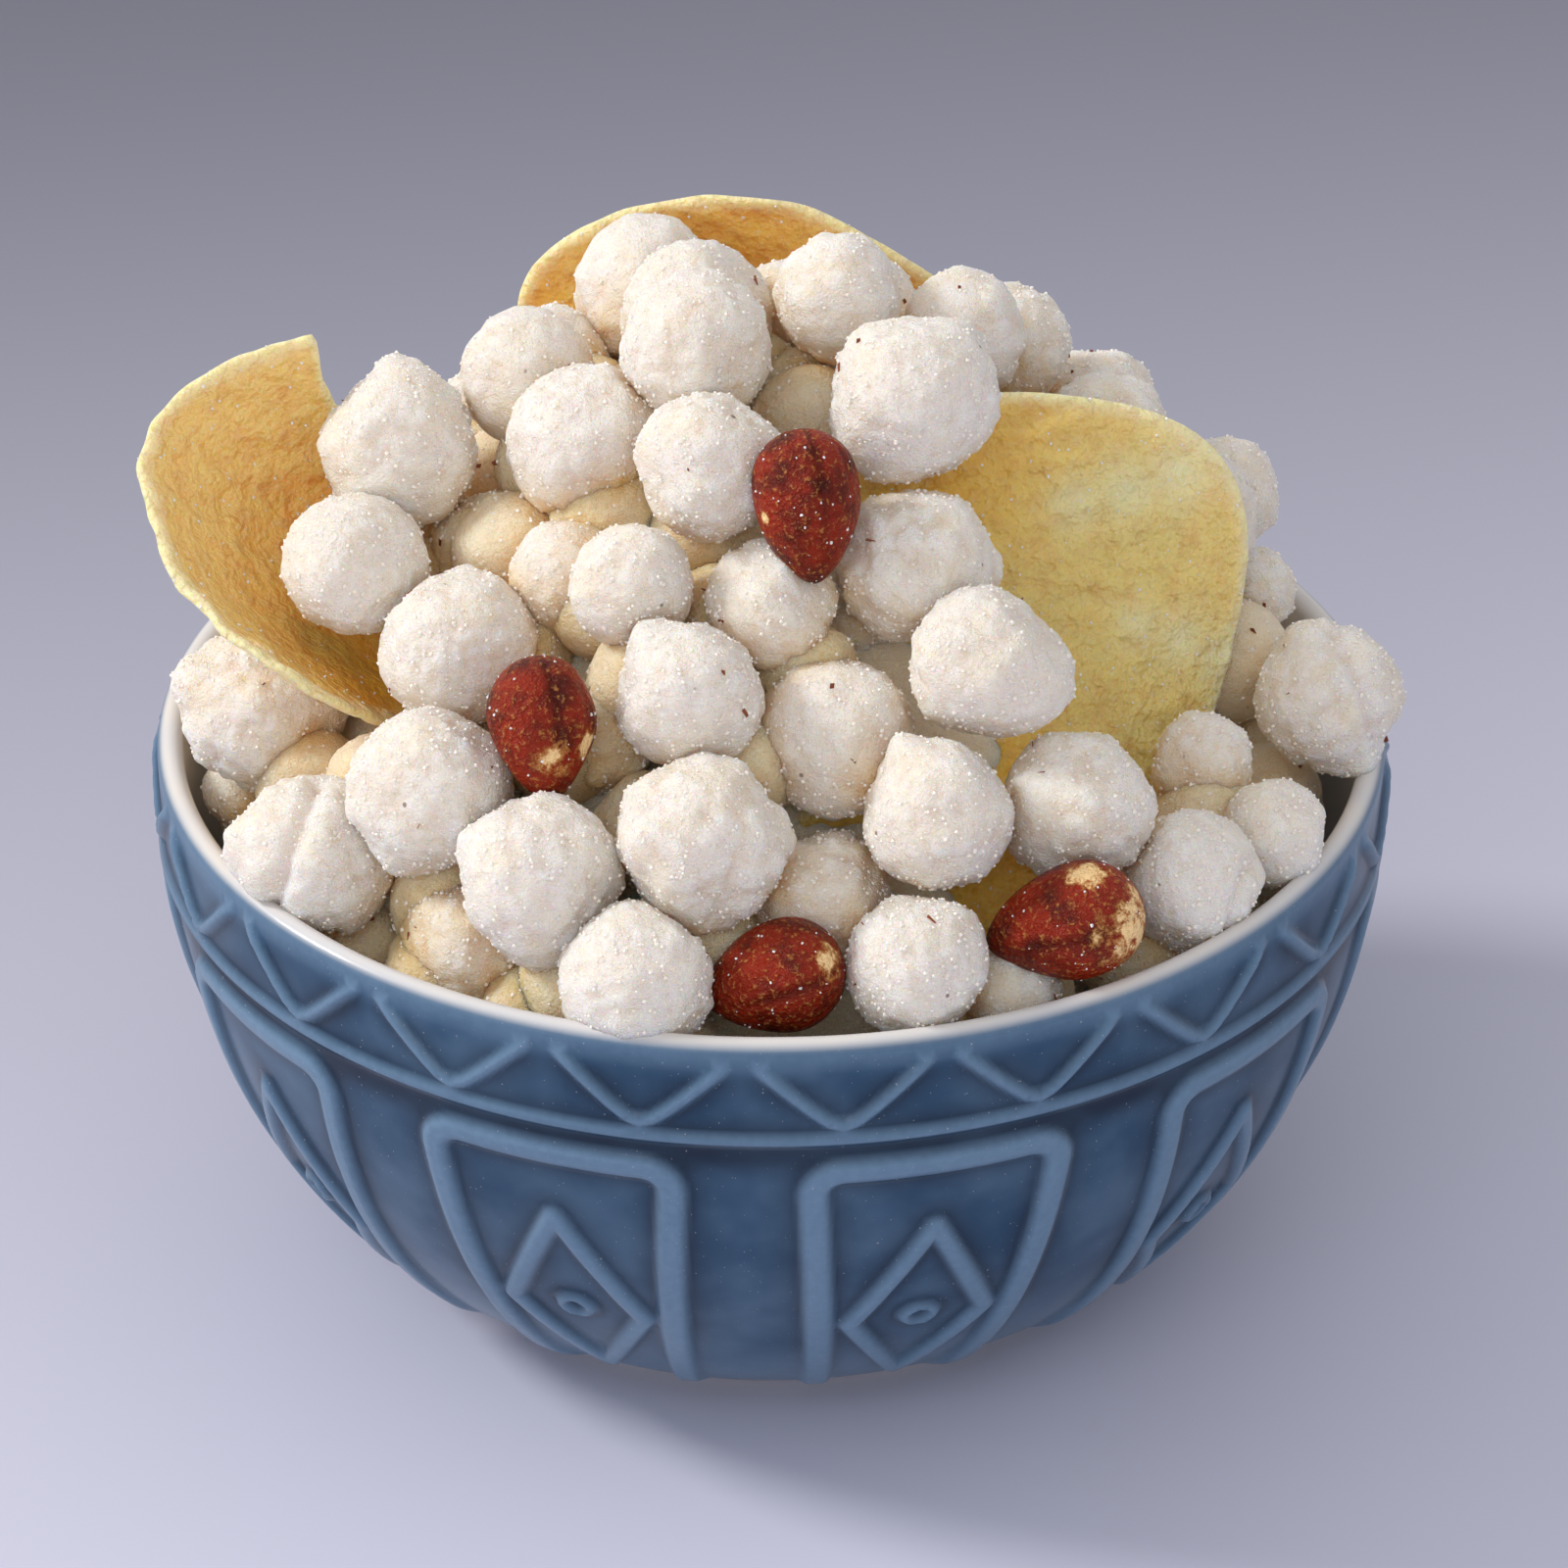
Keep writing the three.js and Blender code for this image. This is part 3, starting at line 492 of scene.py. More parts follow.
def wall_relief(angle, z):
    """How far each point of the wall is on a ridge, and how near it is to one, from 0 to 1."""
    heights = np.linspace(0, BOWL["height"], 400)
    slope = np.gradient(outer_radius(heights), heights)
    along = np.concatenate([[0], np.cumsum(np.hypot(1, slope[1:]) * np.diff(heights))])

    def rise(height):
        return np.interp(height, heights, along)

    def to_side(x, path, width):
        return distance_to_path(x, s, path, radius, rise) - width / 2

    radius, s = outer_radius(z), rise(z)
    step = 360 / ZIGZAG["count"]
    low = (angle - FIRST_LOW + step / 2) % step - step / 2
    bend, reach = ZIGZAG["bend"], step / 2 - ZIGZAG["apart"]
    climb = (ZIGZAG["high"] - ZIGZAG["low"]) / (math.hypot(1, bend) - bend)
    zig = [(reach * t, ZIGZAG["low"] + climb * (math.hypot(t, bend) - bend))
           for t in np.linspace(-1, 1, 13)]
    to_zig = to_side(np.radians(low) * radius, zig, ZIGZAG["width"])
    pitch = 360 / PANELS
    turned = (angle - FIRST_LOW - step / 2 + pitch / 2) % pitch - pitch / 2
    x = np.radians(turned) * radius
    corner = PANEL["corner"] / PANEL["squeeze"]
    arc = [(PANEL["half"] - corner * (1 - math.cos(a)),
            PANEL["top"] - PANEL["corner"] * (1 - math.sin(a)))
           for a in np.linspace(0, math.pi / 2, 6)]
    frame_path = [(PANEL["foot_half"], PANEL["bottom"]), *arc,
                  *[(-a, z) for a, z in reversed(arc)], (-PANEL["foot_half"], PANEL["bottom"])]
    to_frame = to_side(x, frame_path, PANEL["width"])
    diamond = [(0, DIAMOND["top"]), (DIAMOND["half"], DIAMOND["middle"]), (0, DIAMOND["bottom"]),
               (-DIAMOND["half"], DIAMOND["middle"]), (0, DIAMOND["top"])]
    to_diamond = to_side(x, diamond, DIAMOND["width"])
    dot = np.hypot(x, (s - rise(DOT["height"])) * DOT["squeeze"])
    to_dot = np.abs(dot - DOT["radius"]) - DOT["width"] / 2
    to_ring = np.abs(s - rise(RING["height"])) - RING["width"] / 2
    nearest = np.minimum.reduce([to_zig, to_frame, to_diamond, to_dot, to_ring])
    on_ridge = 1 - smooth(*RIDGE_EDGE, nearest)
    # a darker band under the ring: pooled glaze, and partly a painted shadow beneath the ring's step
    pool_and_shadow_under_ring = np.exp(-((rise(RING["height"]) - POOL["pool_and_shadow_under_ring"] - s) / POOL["spread"]) ** 2)
    near_ridge = np.exp(-np.clip(nearest - POOL["starts"], 0, None) / POOL["fade"]) * (1 - on_ridge)
    near_ridge = np.clip(near_ridge + POOL["share"] * pool_and_shadow_under_ring * (1 - on_ridge), 0, 1)
    near_ridge = near_ridge * (1 - smooth(*POOL_ENDS, z)) * smooth(*POOL_STARTS, z)
    return on_ridge, near_ridge


def thin_and_reflected_band(height):
    """How light the glaze is at a height: near the lip, where it is thin, and near the foot, where the
    lightness is a painted reflection of the floor.
    """
    share, low, high = THIN_NEAR_LIP
    near_lip = share * smooth(low, high, height)
    share, low, high = REFLECTION_NEAR_FOOT
    return max(near_lip, share * (1 - smooth(low, high, height)))


def widening(sparse, dense):
    """Triangles from a row of a few points up to a row of four times as many."""
    j = np.arange(SPARSE)
    a, b = sparse + j, sparse + (j + 1) % SPARSE
    f = [dense + (4 * j + k) % AROUND for k in range(5)]
    fans = [(a, f[1], f[0]), (a, f[2], f[1]), (a, b, f[2]), (b, f[3], f[2]), (b, f[4], f[3])]
    return np.concatenate([np.stack(fan, axis=1) for fan in fans])


def narrowing(dense, sparse):
    """Triangles from a dense row up to a sparse one."""
    return widening(sparse, dense)[:, ::-1]


def bowl_profile():
    """The bowl's outline from under its middle, out, up the wall, over the lip and down inside."""
    top, rim = BOWL["height"], BOWL["rim"]
    under = [(0, FOOT["recess"]), (12, FOOT["recess"]), (24, FOOT["recess"]),
             (FOOT["inner"] - 1.4, FOOT["recess"]), (FOOT["inner"] - 0.6, FOOT["recess"] - 0.4),
             (FOOT["inner"], 0.4), (FOOT["inner"] + 0.6, 0), (39, 0), (FOOT["outer"] - 0.6, 0),
             (FOOT["outer"], 0.3), (FOOT["outer"] + 0.5, 1.2), (FOOT["outer"] + 0.9, 1.9)]
    grow = np.linspace(0, 1, ROWS["wall"]) ** 1.25
    heights = BOWL["start"] + 0.1 + (top - LIP["below"] - BOWL["start"] - 0.1) * grow
    wall = [(outer_radius(z), z) for z in heights]
    wall.insert(0, (outer_radius(BOWL["start"]) - 0.9, BOWL["start"] - 0.1))
    middle = (rim + inner_radius(top)) / 2
    half = (rim - inner_radius(top)) / 2
    lip = [(middle + half * math.cos(a), top - LIP["rise"] + LIP["rise"] * math.sin(a))
           for a in np.linspace(0, math.pi, ROWS["lip"])]
    lowest = WALL["floor"] + 4
    fall = lowest + (top - LIP["inside"] - WALL["floor"] - 4) * np.linspace(1, 0, ROWS["inside"]) ** 1.5
    inside = [(inner_radius(z), z) for z in fall]
    r, z = inside[-1]
    bend = [(r - 5 * math.sin(a), z - 3.2 * (1 - math.cos(a))) for a in np.linspace(0.3, 1.4, 5)]
    floor = [(bend[-1][0] * share, WALL["floor"] + 0.4 * share) for share in (0.75, 0.45, 0.2, 0)]
    outside = len(under) + 1, len(under) + 1 + len(heights)
    return np.array(under + wall + lip + inside + bend + floor), outside


class MAKHANA_OT_bowl(bpy.types.Operator):
    """Build the glazed bowl with its relief"""

    bl_idname = "makhana.bowl"
    bl_label = "Bowl"

    def execute(self, context):
        settings = context.scene.makhana_bowl
        profile, (first, last) = bowl_profile()
        slope = np.gradient(profile[:, 0]) / np.maximum(np.abs(np.gradient(profile[:, 1])), 1e-3)
        lean = np.arctan(np.clip(slope, 0, 8))
        rows, shades, starts = [], [], [0]
        for index, (radius, height) in enumerate(profile):
            wall = first <= index < last
            angle = np.arange(AROUND if wall else SPARSE) * 360 / (AROUND if wall else SPARSE)
            r, z = np.full(len(angle), radius), np.full(len(angle), height)
            ridge, pool = wall_relief(angle, z) if wall else (np.zeros(len(r)), np.zeros(len(r)))
            lift = ridge * settings.relief / MM * smooth(*RELIEF_STARTS, height)
            lift = lift * (1 - RELIEF_LOST * smooth(*RELIEF_ENDS, height))
            r, z = r + lift * math.cos(lean[index]), z - lift * math.sin(lean[index])
            around = np.radians(angle)
            rows.append(np.stack([r * np.sin(around), -r * np.cos(around), z], axis=1))
            below = index < last + ROWS["lip"] // 2
            white = smooth(WHITE_ABOVE - 0.5, WHITE_ABOVE + 0.6, height) if below else 1.0
            white = 1.0 if index < first - 1 else white
            # the band is thin glaze near the lip and a painted reflection of the floor near the foot
            band = thin_and_reflected_band(height) if index >= first else 0
            shades.append(np.stack([np.maximum(ridge, band), pool, np.full(len(r), white)], axis=1))
            starts.append(starts[-1] + len(r))
        points, shades = np.concatenate(rows), np.concatenate(shades)
        blocks = [grid_faces(first, SPARSE, True),
                  grid_faces(last - first, AROUND, True) + starts[first],
                  grid_faces(len(profile) - last, SPARSE, True) + starts[last]]
        faces = np.concatenate([triangles(block, shades[:, 0]) for block in blocks]
                               + [widening(starts[first - 1], starts[first]),
                                  narrowing(starts[last - 1], starts[last])])
        shades = dict(zip(("ridge", "pool", "white"), shades.T))
        mesh = new_mesh("bowl_glazed", points, faces, shades)
        add_piece("bowl_glazed", mesh, glaze_material(settings), "glaze", "bowl")
        return {"FINISHED"}


def glaze_material(settings):
    material, nodes, shader, place = new_material(
        "Blue glaze over white", Roughness=0.3, Coat_Weight=0.12, Coat_Roughness=0.08, IOR=1.5,
        Specular_IOR_Level=0.2)
    cloudy = nodes.noise(place, 70, 3)
    fine = nodes.noise(place, 900, 2)
    glaze = nodes.mix(nodes.span(cloudy, 0.3, 0.7, 0, 0.35), settings.glaze, settings.thin)
    pool = nodes.math("MULTIPLY", nodes.attribute("pool"), nodes.span(cloudy, 0.2, 0.8, 1.0, 0.75))
    glaze = nodes.mix(pool, glaze, settings.pooled)
    # the ridge shade also holds the thin glaze near the lip and the painted reflection of the floor near
    # the foot
    ridge = nodes.math("MULTIPLY", nodes.attribute("ridge"), nodes.span(fine, 0.2, 0.8, 0.8, 1.0))
    glaze = nodes.mix(ridge, glaze, settings.thin)
    specks = nodes.span(nodes.noise(place, 2600, 1), 0.74, 0.8)
    glaze = nodes.mix(nodes.math("MULTIPLY", specks, 0.4), glaze, settings.white)
    tint = nodes.mix(nodes.span(cloudy, 0.3, 0.7), settings.white, settings.cream)
    both = nodes.mix(nodes.attribute("white"), glaze, tint)
    bump = nodes.bump(nodes.noise(place, 260, 0), 0.0004, 0.12)
    finish_material(nodes, shader, Base_Color=both, Normal=bump)
    return material


# ---- makhana --------------------------------------------------------------------------------
class MakhanaSettings(bpy.types.PropertyGroup):
    seed: IntProperty(name="Seed", description="Changes every puff's lumps", default=11)
    flesh: colour("Puff", "The popped white", (0.885, 0.825, 0.76))
    # painted shade: this warmer, darker colour goes into each puff's hollows and over the shaded puffs;
    # its broad patches are the puffs' own uneven tone
    warm: colour("Warm", "The hollows of a puff", (0.85, 0.73, 0.55))
    # painted shade: a darker, warmer copy of the puff colour for the puffs in the gaps and the core
    deep: colour("Deep puff", "The puffs in the gaps", (0.89, 0.76, 0.56))
    # painted glow and shade where puffs meet
    glow: colour("Nooks", "Where puffs touch and light comes through them", (0.90, 0.56, 0.22))
    speck: colour("Speck", "Specks of husk", (0.12, 0.06, 0.03))


def heap_height(x, y):
    open_share = 1 - np.minimum((x * x + y * y) / HEAP["reach"] ** 2, 1)
    return HEAP["rim"] + (HEAP["rise"] + HEAP["lean"] * y) * open_share


def topping_points():
    """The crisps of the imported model, as points in millimetres."""
    points = []
    for name in CRISPS:
        vertices = frame["nodes"][name].data.vertices
        flat = np.zeros(len(vertices) * 3, np.float32)
        vertices.foreach_get("co", flat)
        points.append(flat.reshape(-1, 3) / MM)
    return np.concatenate(points)


def far_puffs():
    """Puffs on the side away from the viewer, from the lip inwards, clear of what is there."""
    placed = np.array([*SMOOTH_PUFFS.values(), *SHAPED_PUFFS.values(), *CRAGGY_PUFFS.values()], float)
    shown = len(placed)
    toppings = topping_points()
    for n in range(FAR["tries"], 0, -1):
        x, y = sunflower(n, FAR["tries"], FAR["reach"])
        size = FAR["smallest"] + FAR["spread"] * scatter(n + 500)
        z = heap_height(x, y) + FAR["rise"] * (scatter(n + 900) - 0.5)
        spot = np.array([x, y, z])
        apart = np.linalg.norm(placed[:, :3] - spot, axis=1)
        free = (apart > FAR["crowding"] * (size + placed[:, 3]) / 2).all()
        clear = (np.linalg.norm(toppings - spot, axis=1) > size / 2).all()
        if y > FAR["front"] and free and clear:
            placed = np.vstack([placed, [*spot, size]])
    return placed[shown:]


def deep_puffs():
    """A second layer, seen in the gaps of the first, and a low ring just inside the lip."""
    toppings = topping_points()
    spots = []
    for n in range(1, DEEP["count"]):
        x, y = sunflower(n, DEEP["count"], DEEP["reach"])
        size = DEEP["smallest"] + DEEP["spread"] * scatter(n + 60)
        z = float(heap_height(x, y)) - DEEP["under"] - DEEP["uneven"] * scatter(n + 70)
        spot = np.array([x, y, z])
        shown = math.dist(spot, CRISP_SHOWN) < CRISP_SHOWN_WITHIN
        clear = np.linalg.norm(toppings - spot, axis=1) > size / 2 + DEEP["clear"]
        if clear.all() and not shown:
            spots.append([*spot, size])
    for n in range(LOW_RING["count"]):
        angle = math.radians(360 * (n + 0.3 * scatter(n)) / LOW_RING["count"])
        size = LOW_RING["smallest"] + LOW_RING["spread"] * scatter(n + 80)
        x, y = LOW_RING["radius"] * math.sin(angle), -LOW_RING["radius"] * math.cos(angle)
        spot = np.array([x, y, LOW_RING["height"] + LOW_RING["uneven"] * scatter(n + 90)])
        if all(math.dist(spot, at) > size / 2 + LOW_RING["clear"] for at, *_ in PEANUTS.values()):
            spots.append([*spot, size])
    return spots


def puff(directions, radius, seed, kind, marks=()):
    """The points of one puff about its middle, and how deep each lies in a hollow."""
    broad, small, cobble, cobbles, flats = KINDS[kind]
    rng = np.random.default_rng(seed)
    across = directions * radius
    reach = 1.01 + broad * waves(across, seed * 7 + 1, BROAD_LUMP)
    reach = reach + small * waves(across, seed * 7 + 2, SMALL_LUMP)
    for spot in unit(rng.normal(size=(flats, 3))):
        reach = flatten(reach, directions @ spot, rng.uniform(0.88, 0.96))
    for shape, angle, near, amount, *wide in marks:
        if shape == "flat":
            reach = flatten(reach, directions @ seen(angle, near), amount)
        elif shape == "knob":
            away = np.linalg.norm(directions - seen(angle, near), axis=1)
            reach = reach + amount * np.exp(-((away / wide[0]) ** 2))
        else:
            across_it = directions @ seen(angle, 0) - near
            facing = smooth(-0.3, 0.4, directions @ NEAR)
            reach = reach - amount * facing * np.exp(-((across_it / wide[0]) ** 2))
    spots = unit(rng.normal(size=(cobbles, 3)))
    nearest = np.sqrt(np.clip(2 - 2 * (directions @ spots.T).max(axis=1), 0, None))
    spacing = 2.3 / math.sqrt(cobbles)
    hollow = smooth(0.45, 1.15, nearest / spacing)
    reach = reach - cobble * hollow * (0.6 + 0.4 * waves(across, seed * 7 + 3, UNEVEN_HOLLOW))
    for order, (height, wide) in enumerate(FINE_LUMPS, 4):
        reach = reach + height * waves(across, seed * 7 + order, wide)
    return directions * (reach * radius)[:, None], hollow * cobble / KINDS["craggy"][2]


def flatten(reach, facing, cut):
    """Presses a flat place on a puff, with a soft edge."""
    limit = cut / np.clip(facing, 0.05, None)
    blend = np.clip(0.5 + (limit - reach) / (2 * FLAT_EDGE), 0, 1)
    return limit * (1 - blend) + reach * blend - FLAT_EDGE * blend * (1 - blend)


def nooks(points, own, spots):
    """How near each point of a puff is to the other puffs, and under them, from 0 to 1."""
    apart = np.linalg.norm(spots[:, :3] - own[:3], axis=1) - spots[:, 3] / 2
    near = np.zeros(len(points))
    for x, y, z, size in spots[(apart < own[3] / 2 + NOOK["reach"]) & (apart > -own[3] / 4)]:
        gap = np.linalg.norm(points - (x, y, z), axis=1) - size / 2
        near = np.maximum(near, np.exp(-np.clip(gap, 0, None) / NOOK["fade"]))
    under = heap_height(points[:, 0], points[:, 1]) - points[:, 2]
    return near * smooth(NOOK["out"], NOOK["within"], under)


def puff_group(spots, names, kind, divisions, seed, others):
    """The mesh data of several puffs: points, faces and attributes."""
    directions, faces = ball(divisions)
    parts, hollows, tones_and_shade, near = [], [], [], []
    for index, (spot, name) in enumerate(zip(spots, names)):
        here = seed + index
        turned = directions @ np.array(Euler((here, 2.3 * here, 3.1 * here)).to_matrix())
        points, hollow = puff(turned, spot[3] / 2, here, kind, MARKS.get(name, ()))
        parts.append((points + np.array(spot[:3]), faces))
        near.append(nooks(parts[-1][0], np.array(spot), others))
        hollows.append(hollow)
        # a random tone for most puffs, and painted shade for the shaded ones
        tones_and_shade.append(np.full(len(points), SHADED_TONE if name in SHADED else scatter(here)))
    points, faces = join(parts)
    return points, faces, {"hollow": np.concatenate(hollows), "tone_and_shade": np.concatenate(tones_and_shade),
                           "nook": np.concatenate(near)}


def puff_material(name, flesh, settings):
    material, nodes, shader, place = new_material(
        name, Subsurface_Weight=0.85, Subsurface_Scale=0.0045,
        Subsurface_Radius=(1.0, 0.7, 0.42), IOR=1.45, Specular_IOR_Level=0.5)
    broad = nodes.noise(place, 130, 2)
    grain = nodes.noise(place, 1000, 2, 0.7)
    fine = nodes.noise(place, 3000, 1, 0.7)
    # warmer colour: broad patches of the puff's own tone, painted shade in its hollows and painted shade
    # over the shaded puffs
    warm = nodes.math("ADD", nodes.span(broad, 0.42, 0.75, 0, 0.3),
                      nodes.math("MULTIPLY", nodes.attribute("hollow"), 0.35))
    warm = nodes.math("ADD", warm, nodes.math("MULTIPLY", nodes.attribute("tone_and_shade"), 0.12))
    flesh = nodes.mix(warm, flesh, settings.warm)
    # painted glow and shade where puffs come together
    glow = nodes.math("MULTIPLY", nodes.attribute("nook"), nodes.span(broad, 0.3, 0.7, 0.5, 0.95))
    flesh = nodes.mix(glow, flesh, settings.glow)
    cell = nodes.add("ShaderNodeTexVoronoi", {"Vector": place, "Scale": 240.0, "Randomness": 1.0})
    rare = nodes.add("ShaderNodeSeparateColor", {0: cell.outputs["Color"]}).outputs[0]
    speck = nodes.math("MULTIPLY", nodes.span(cell.outputs["Distance"], 0.1, 0.05),
                       nodes.math("GREATER_THAN", rare, 0.8))
    flesh = nodes.mix(nodes.math("MULTIPLY", speck, 0.75), flesh, settings.speck)
    roughness = nodes.span(grain, 0.3, 0.7, 0.3, 0.6)
    bump = nodes.bump(grain, 0.0008, 1.0)
    bump = nodes.bump(fine, 0.0004, 1.0, bump)
    finish_material(nodes, shader, Base_Color=flesh, Roughness=roughness, Normal=bump)
    return material


def core_points():
    """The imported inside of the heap, well under the puffs: rings from the bowl up to the crown."""
    rings = []
    around = np.radians(np.arange(CORE["around"]) * (360 / CORE["around"]))
    for share in np.linspace(0, 1, CORE["rings"]):
        radius = CORE["reach"] * (1 - share ** 1.6)
        x, y = radius * np.sin(around), -radius * np.cos(around)
        z = heap_height(x, y) - CORE["under"] + CORE["uneven"] * np.sin(around * 5 + share * 9)
        from_shown = (x - CRISP_SHOWN[0]) ** 2 + (y - CRISP_SHOWN[1]) ** 2
        z -= CORE["dent"] * np.exp(-from_shown / CORE["dent_width"] ** 2)
        rings.append(np.stack([x, y, z], axis=1))
    base = rings[0].copy()
    base[:, 2] = CORE["bottom"]
    base[:, :2] *= CORE["narrower"]
    middle = base * np.array([0.0, 0.0, 1.0])
    points = np.concatenate([middle, base, *rings])
    return points, grid_faces(len(rings) + 2, CORE["around"], True)


class MAKHANA_OT_puffs(bpy.types.Operator):
    """Build the makhana, one piece for each kind, over their own core"""

    bl_idname = "makhana.puffs"
    bl_label = "Makhana"

    def execute(self, context):
        settings = context.scene.makhana_puffs
        material = puff_material("Popped makhana", settings.flesh, settings)
        # a darker copy of the puff material: painted shade for the puffs in the gaps and for the core
        painted_shade_puff = puff_material("Makhana in the gaps, painted in shade", settings.deep, settings)
        far, deep = far_puffs(), deep_puffs()
        kinds = {
            "makhana_smooth": (SMOOTH_PUFFS.values(), SMOOTH_PUFFS, "smooth", 27),
            "makhana_shaped": (SHAPED_PUFFS.values(), SHAPED_PUFFS, "shaped", 29),
            "makhana_craggy": (CRAGGY_PUFFS.values(), CRAGGY_PUFFS, "craggy", 29),
            "makhana_far": (far, [""] * len(far), "craggy", 17),
            "makhana_deep": (deep, [""] * len(deep), "shaped", 9),
        }
        everything = np.array([spot for spots, *_ in kinds.values() for spot in spots])
        for order, (name, (spots, names, kind, divisions)) in enumerate(kinds.items()):
            seed = settings.seed + 100 * order
            points, faces, attributes = puff_group(spots, names, kind, divisions, seed, everything)
            mesh = new_mesh(name, points, faces, attributes)
            finish = painted_shade_puff if name == "makhana_deep" else material
            add_piece(name, mesh, finish, "puff", HEAP_NODE)
        # the core wears the same painted shade
        mesh = new_mesh("makhana_core", *core_points())
        add_piece("makhana_core", mesh, painted_shade_puff, "puff", HEAP_NODE)
        return {"FINISHED"}


# ---- crisps ---------------------------------------------------------------------------------
class CrispSettings(bpy.types.PropertyGroup):
    thickness: length("Thickness", "Thickness of a crisp", 1.4 * MM)
    flesh: colour("Crisp", "The fried slice", (0.90, 0.66, 0.235))
    pale: colour("Pale", "Its rim and dry patches", (0.94, 0.82, 0.57))
    # partly the slice's own deeper orange, partly a painted glow of light shining through it
    golden_glow: colour("Golden", "Where oil and light collect", (1.0, 0.46, 0.0))
    # painted light: the palest patches, where light falls between the puffs onto the right crisp
    painted_light: colour("Dry", "Its palest patches", (1.0, 0.85, 0.54))
    toasted: colour("Toasted", "Where it has browned", (0.66, 0.36, 0.10))


def crisp_points(size, thickness, seed):
    """A closed curved slice with a rounded edge, and how near each point is to that edge."""
    half, (rings, sectors) = size["half"], CRISP_NET.values()
    angle = np.arange(sectors) * 2 * math.pi / sectors
    reach = 1 + 0.02 * (np.sin(3 * angle + 1) + np.sin(5 * angle))
    if size["broken"]:
        to_edge = np.cos(angle - math.radians(size["broken"][0]))
        limit = size["broken"][1] / np.clip(to_edge, 0.01, None)
        limit *= 1 + 0.02 * np.sin(angle * 23) + 0.012 * np.sin(angle * 41 + 2)
        reach = np.where(to_edge > 0.01, np.minimum(reach, limit), reach)
    share = np.sin(np.linspace(0, math.pi / 2, rings + 1))[1:]
    radius, angle_grid = share[:, None] * reach[None, :], np.tile(angle, (rings, 1))
    u, v = (radius * np.cos(angle_grid)).ravel(), (radius * np.sin(angle_grid)).ravel()
    u, v = np.concatenate([[0], u]), np.concatenate([[0], v])
    x, y = half[0] * u, half[1] * v
    bend, twist = size["bend"], size["twist"] * half[1] / half[0]
    z = bend[0] * x * u + bend[1] * y * v + twist * x * v
    dz_dx = 2 * bend[0] * u + twist * v
    dz_dy = 2 * bend[1] * v + twist * x / half[1]
    normal = unit(np.stack([-dz_dx, -dz_dy, np.ones_like(x)], axis=1))
    flat = np.stack([x, y, z], axis=1)
    creased = flat * np.array([CRINKLE_LENGTH, 1.0, 1.0])
    ripple = sum(high * waves(creased, seed + 5 * order, wide, count)
                 for order, (high, wide, count) in enumerate(CRINKLES))
    ripple += WARP[0] * waves(flat, seed + 1, WARP[1])
    edge = np.concatenate([[0], np.repeat(share, sectors)])
    span = min(half)
    from_edge = (1 - edge) * span
    rounding = np.sqrt(np.clip(1 - np.clip(1 - from_edge / CRISP_EDGE["round"], 0, 1) ** 2, 0, 1))
    sides = []
    for side in (1, -1):
        blister = BLISTER[0] * waves(flat, seed + 2 + side, *BLISTER[1:])
        lift = ripple + side * rounding * thickness / 2 + side * blister * rounding
        sides.append(flat + normal * lift[:, None])
    turn = np.eye(3)
    for axis, degrees in zip("XYZ", size["turn"]):
        turn = np.array(Matrix.Rotation(math.radians(degrees), 3, axis)) @ turn
    points = np.concatenate(sides) @ turn.T + np.array(size["at"])
    both = np.concatenate([from_edge, from_edge])
    near_edge = 1 - smooth(CRISP_EDGE["pale_from"], CRISP_EDGE["pale_to"], both)
    return points, crisp_faces(rings, sectors), {
        "edge": near_edge, "painted_light": patches(points, size.get("painted_light", ())),
        "golden_glow": patches(points, size["golden_glow"])}


def crisp_faces(rings, sectors):
    """Two polar nets, each round its middle point, joined where they meet at the edge."""
    count = 1 + rings * sectors
    ring = grid_faces(rings, sectors, True) + 1
    near = np.arange(sectors)
    fan = np.stack([np.zeros_like(near), near + 1, (near + 1) % sectors + 1], axis=1)
    top = triangles(ring[:, ::-1])
    last = 1 + (rings - 1) * sectors
    a, b = last + near, last + (near + 1) % sectors
    rim = triangles(np.stack([a, a + count, b + count, b], axis=1))
    top = np.concatenate([top, fan])
    return np.concatenate([top, top[:, ::-1] + count, rim])


def triangles(quads, level=None):
    """Two triangles for each quad, cut along the flatter diagonal where a level is given."""
    if level is not None:
        a, b, c, d = level[quads].T
        other = abs(b - d) < abs(a - c)
        quads = np.where(other[:, None], np.roll(quads, -1, axis=1), quads)
    return np.concatenate([quads[:, :3], quads[:, [0, 2, 3]]])


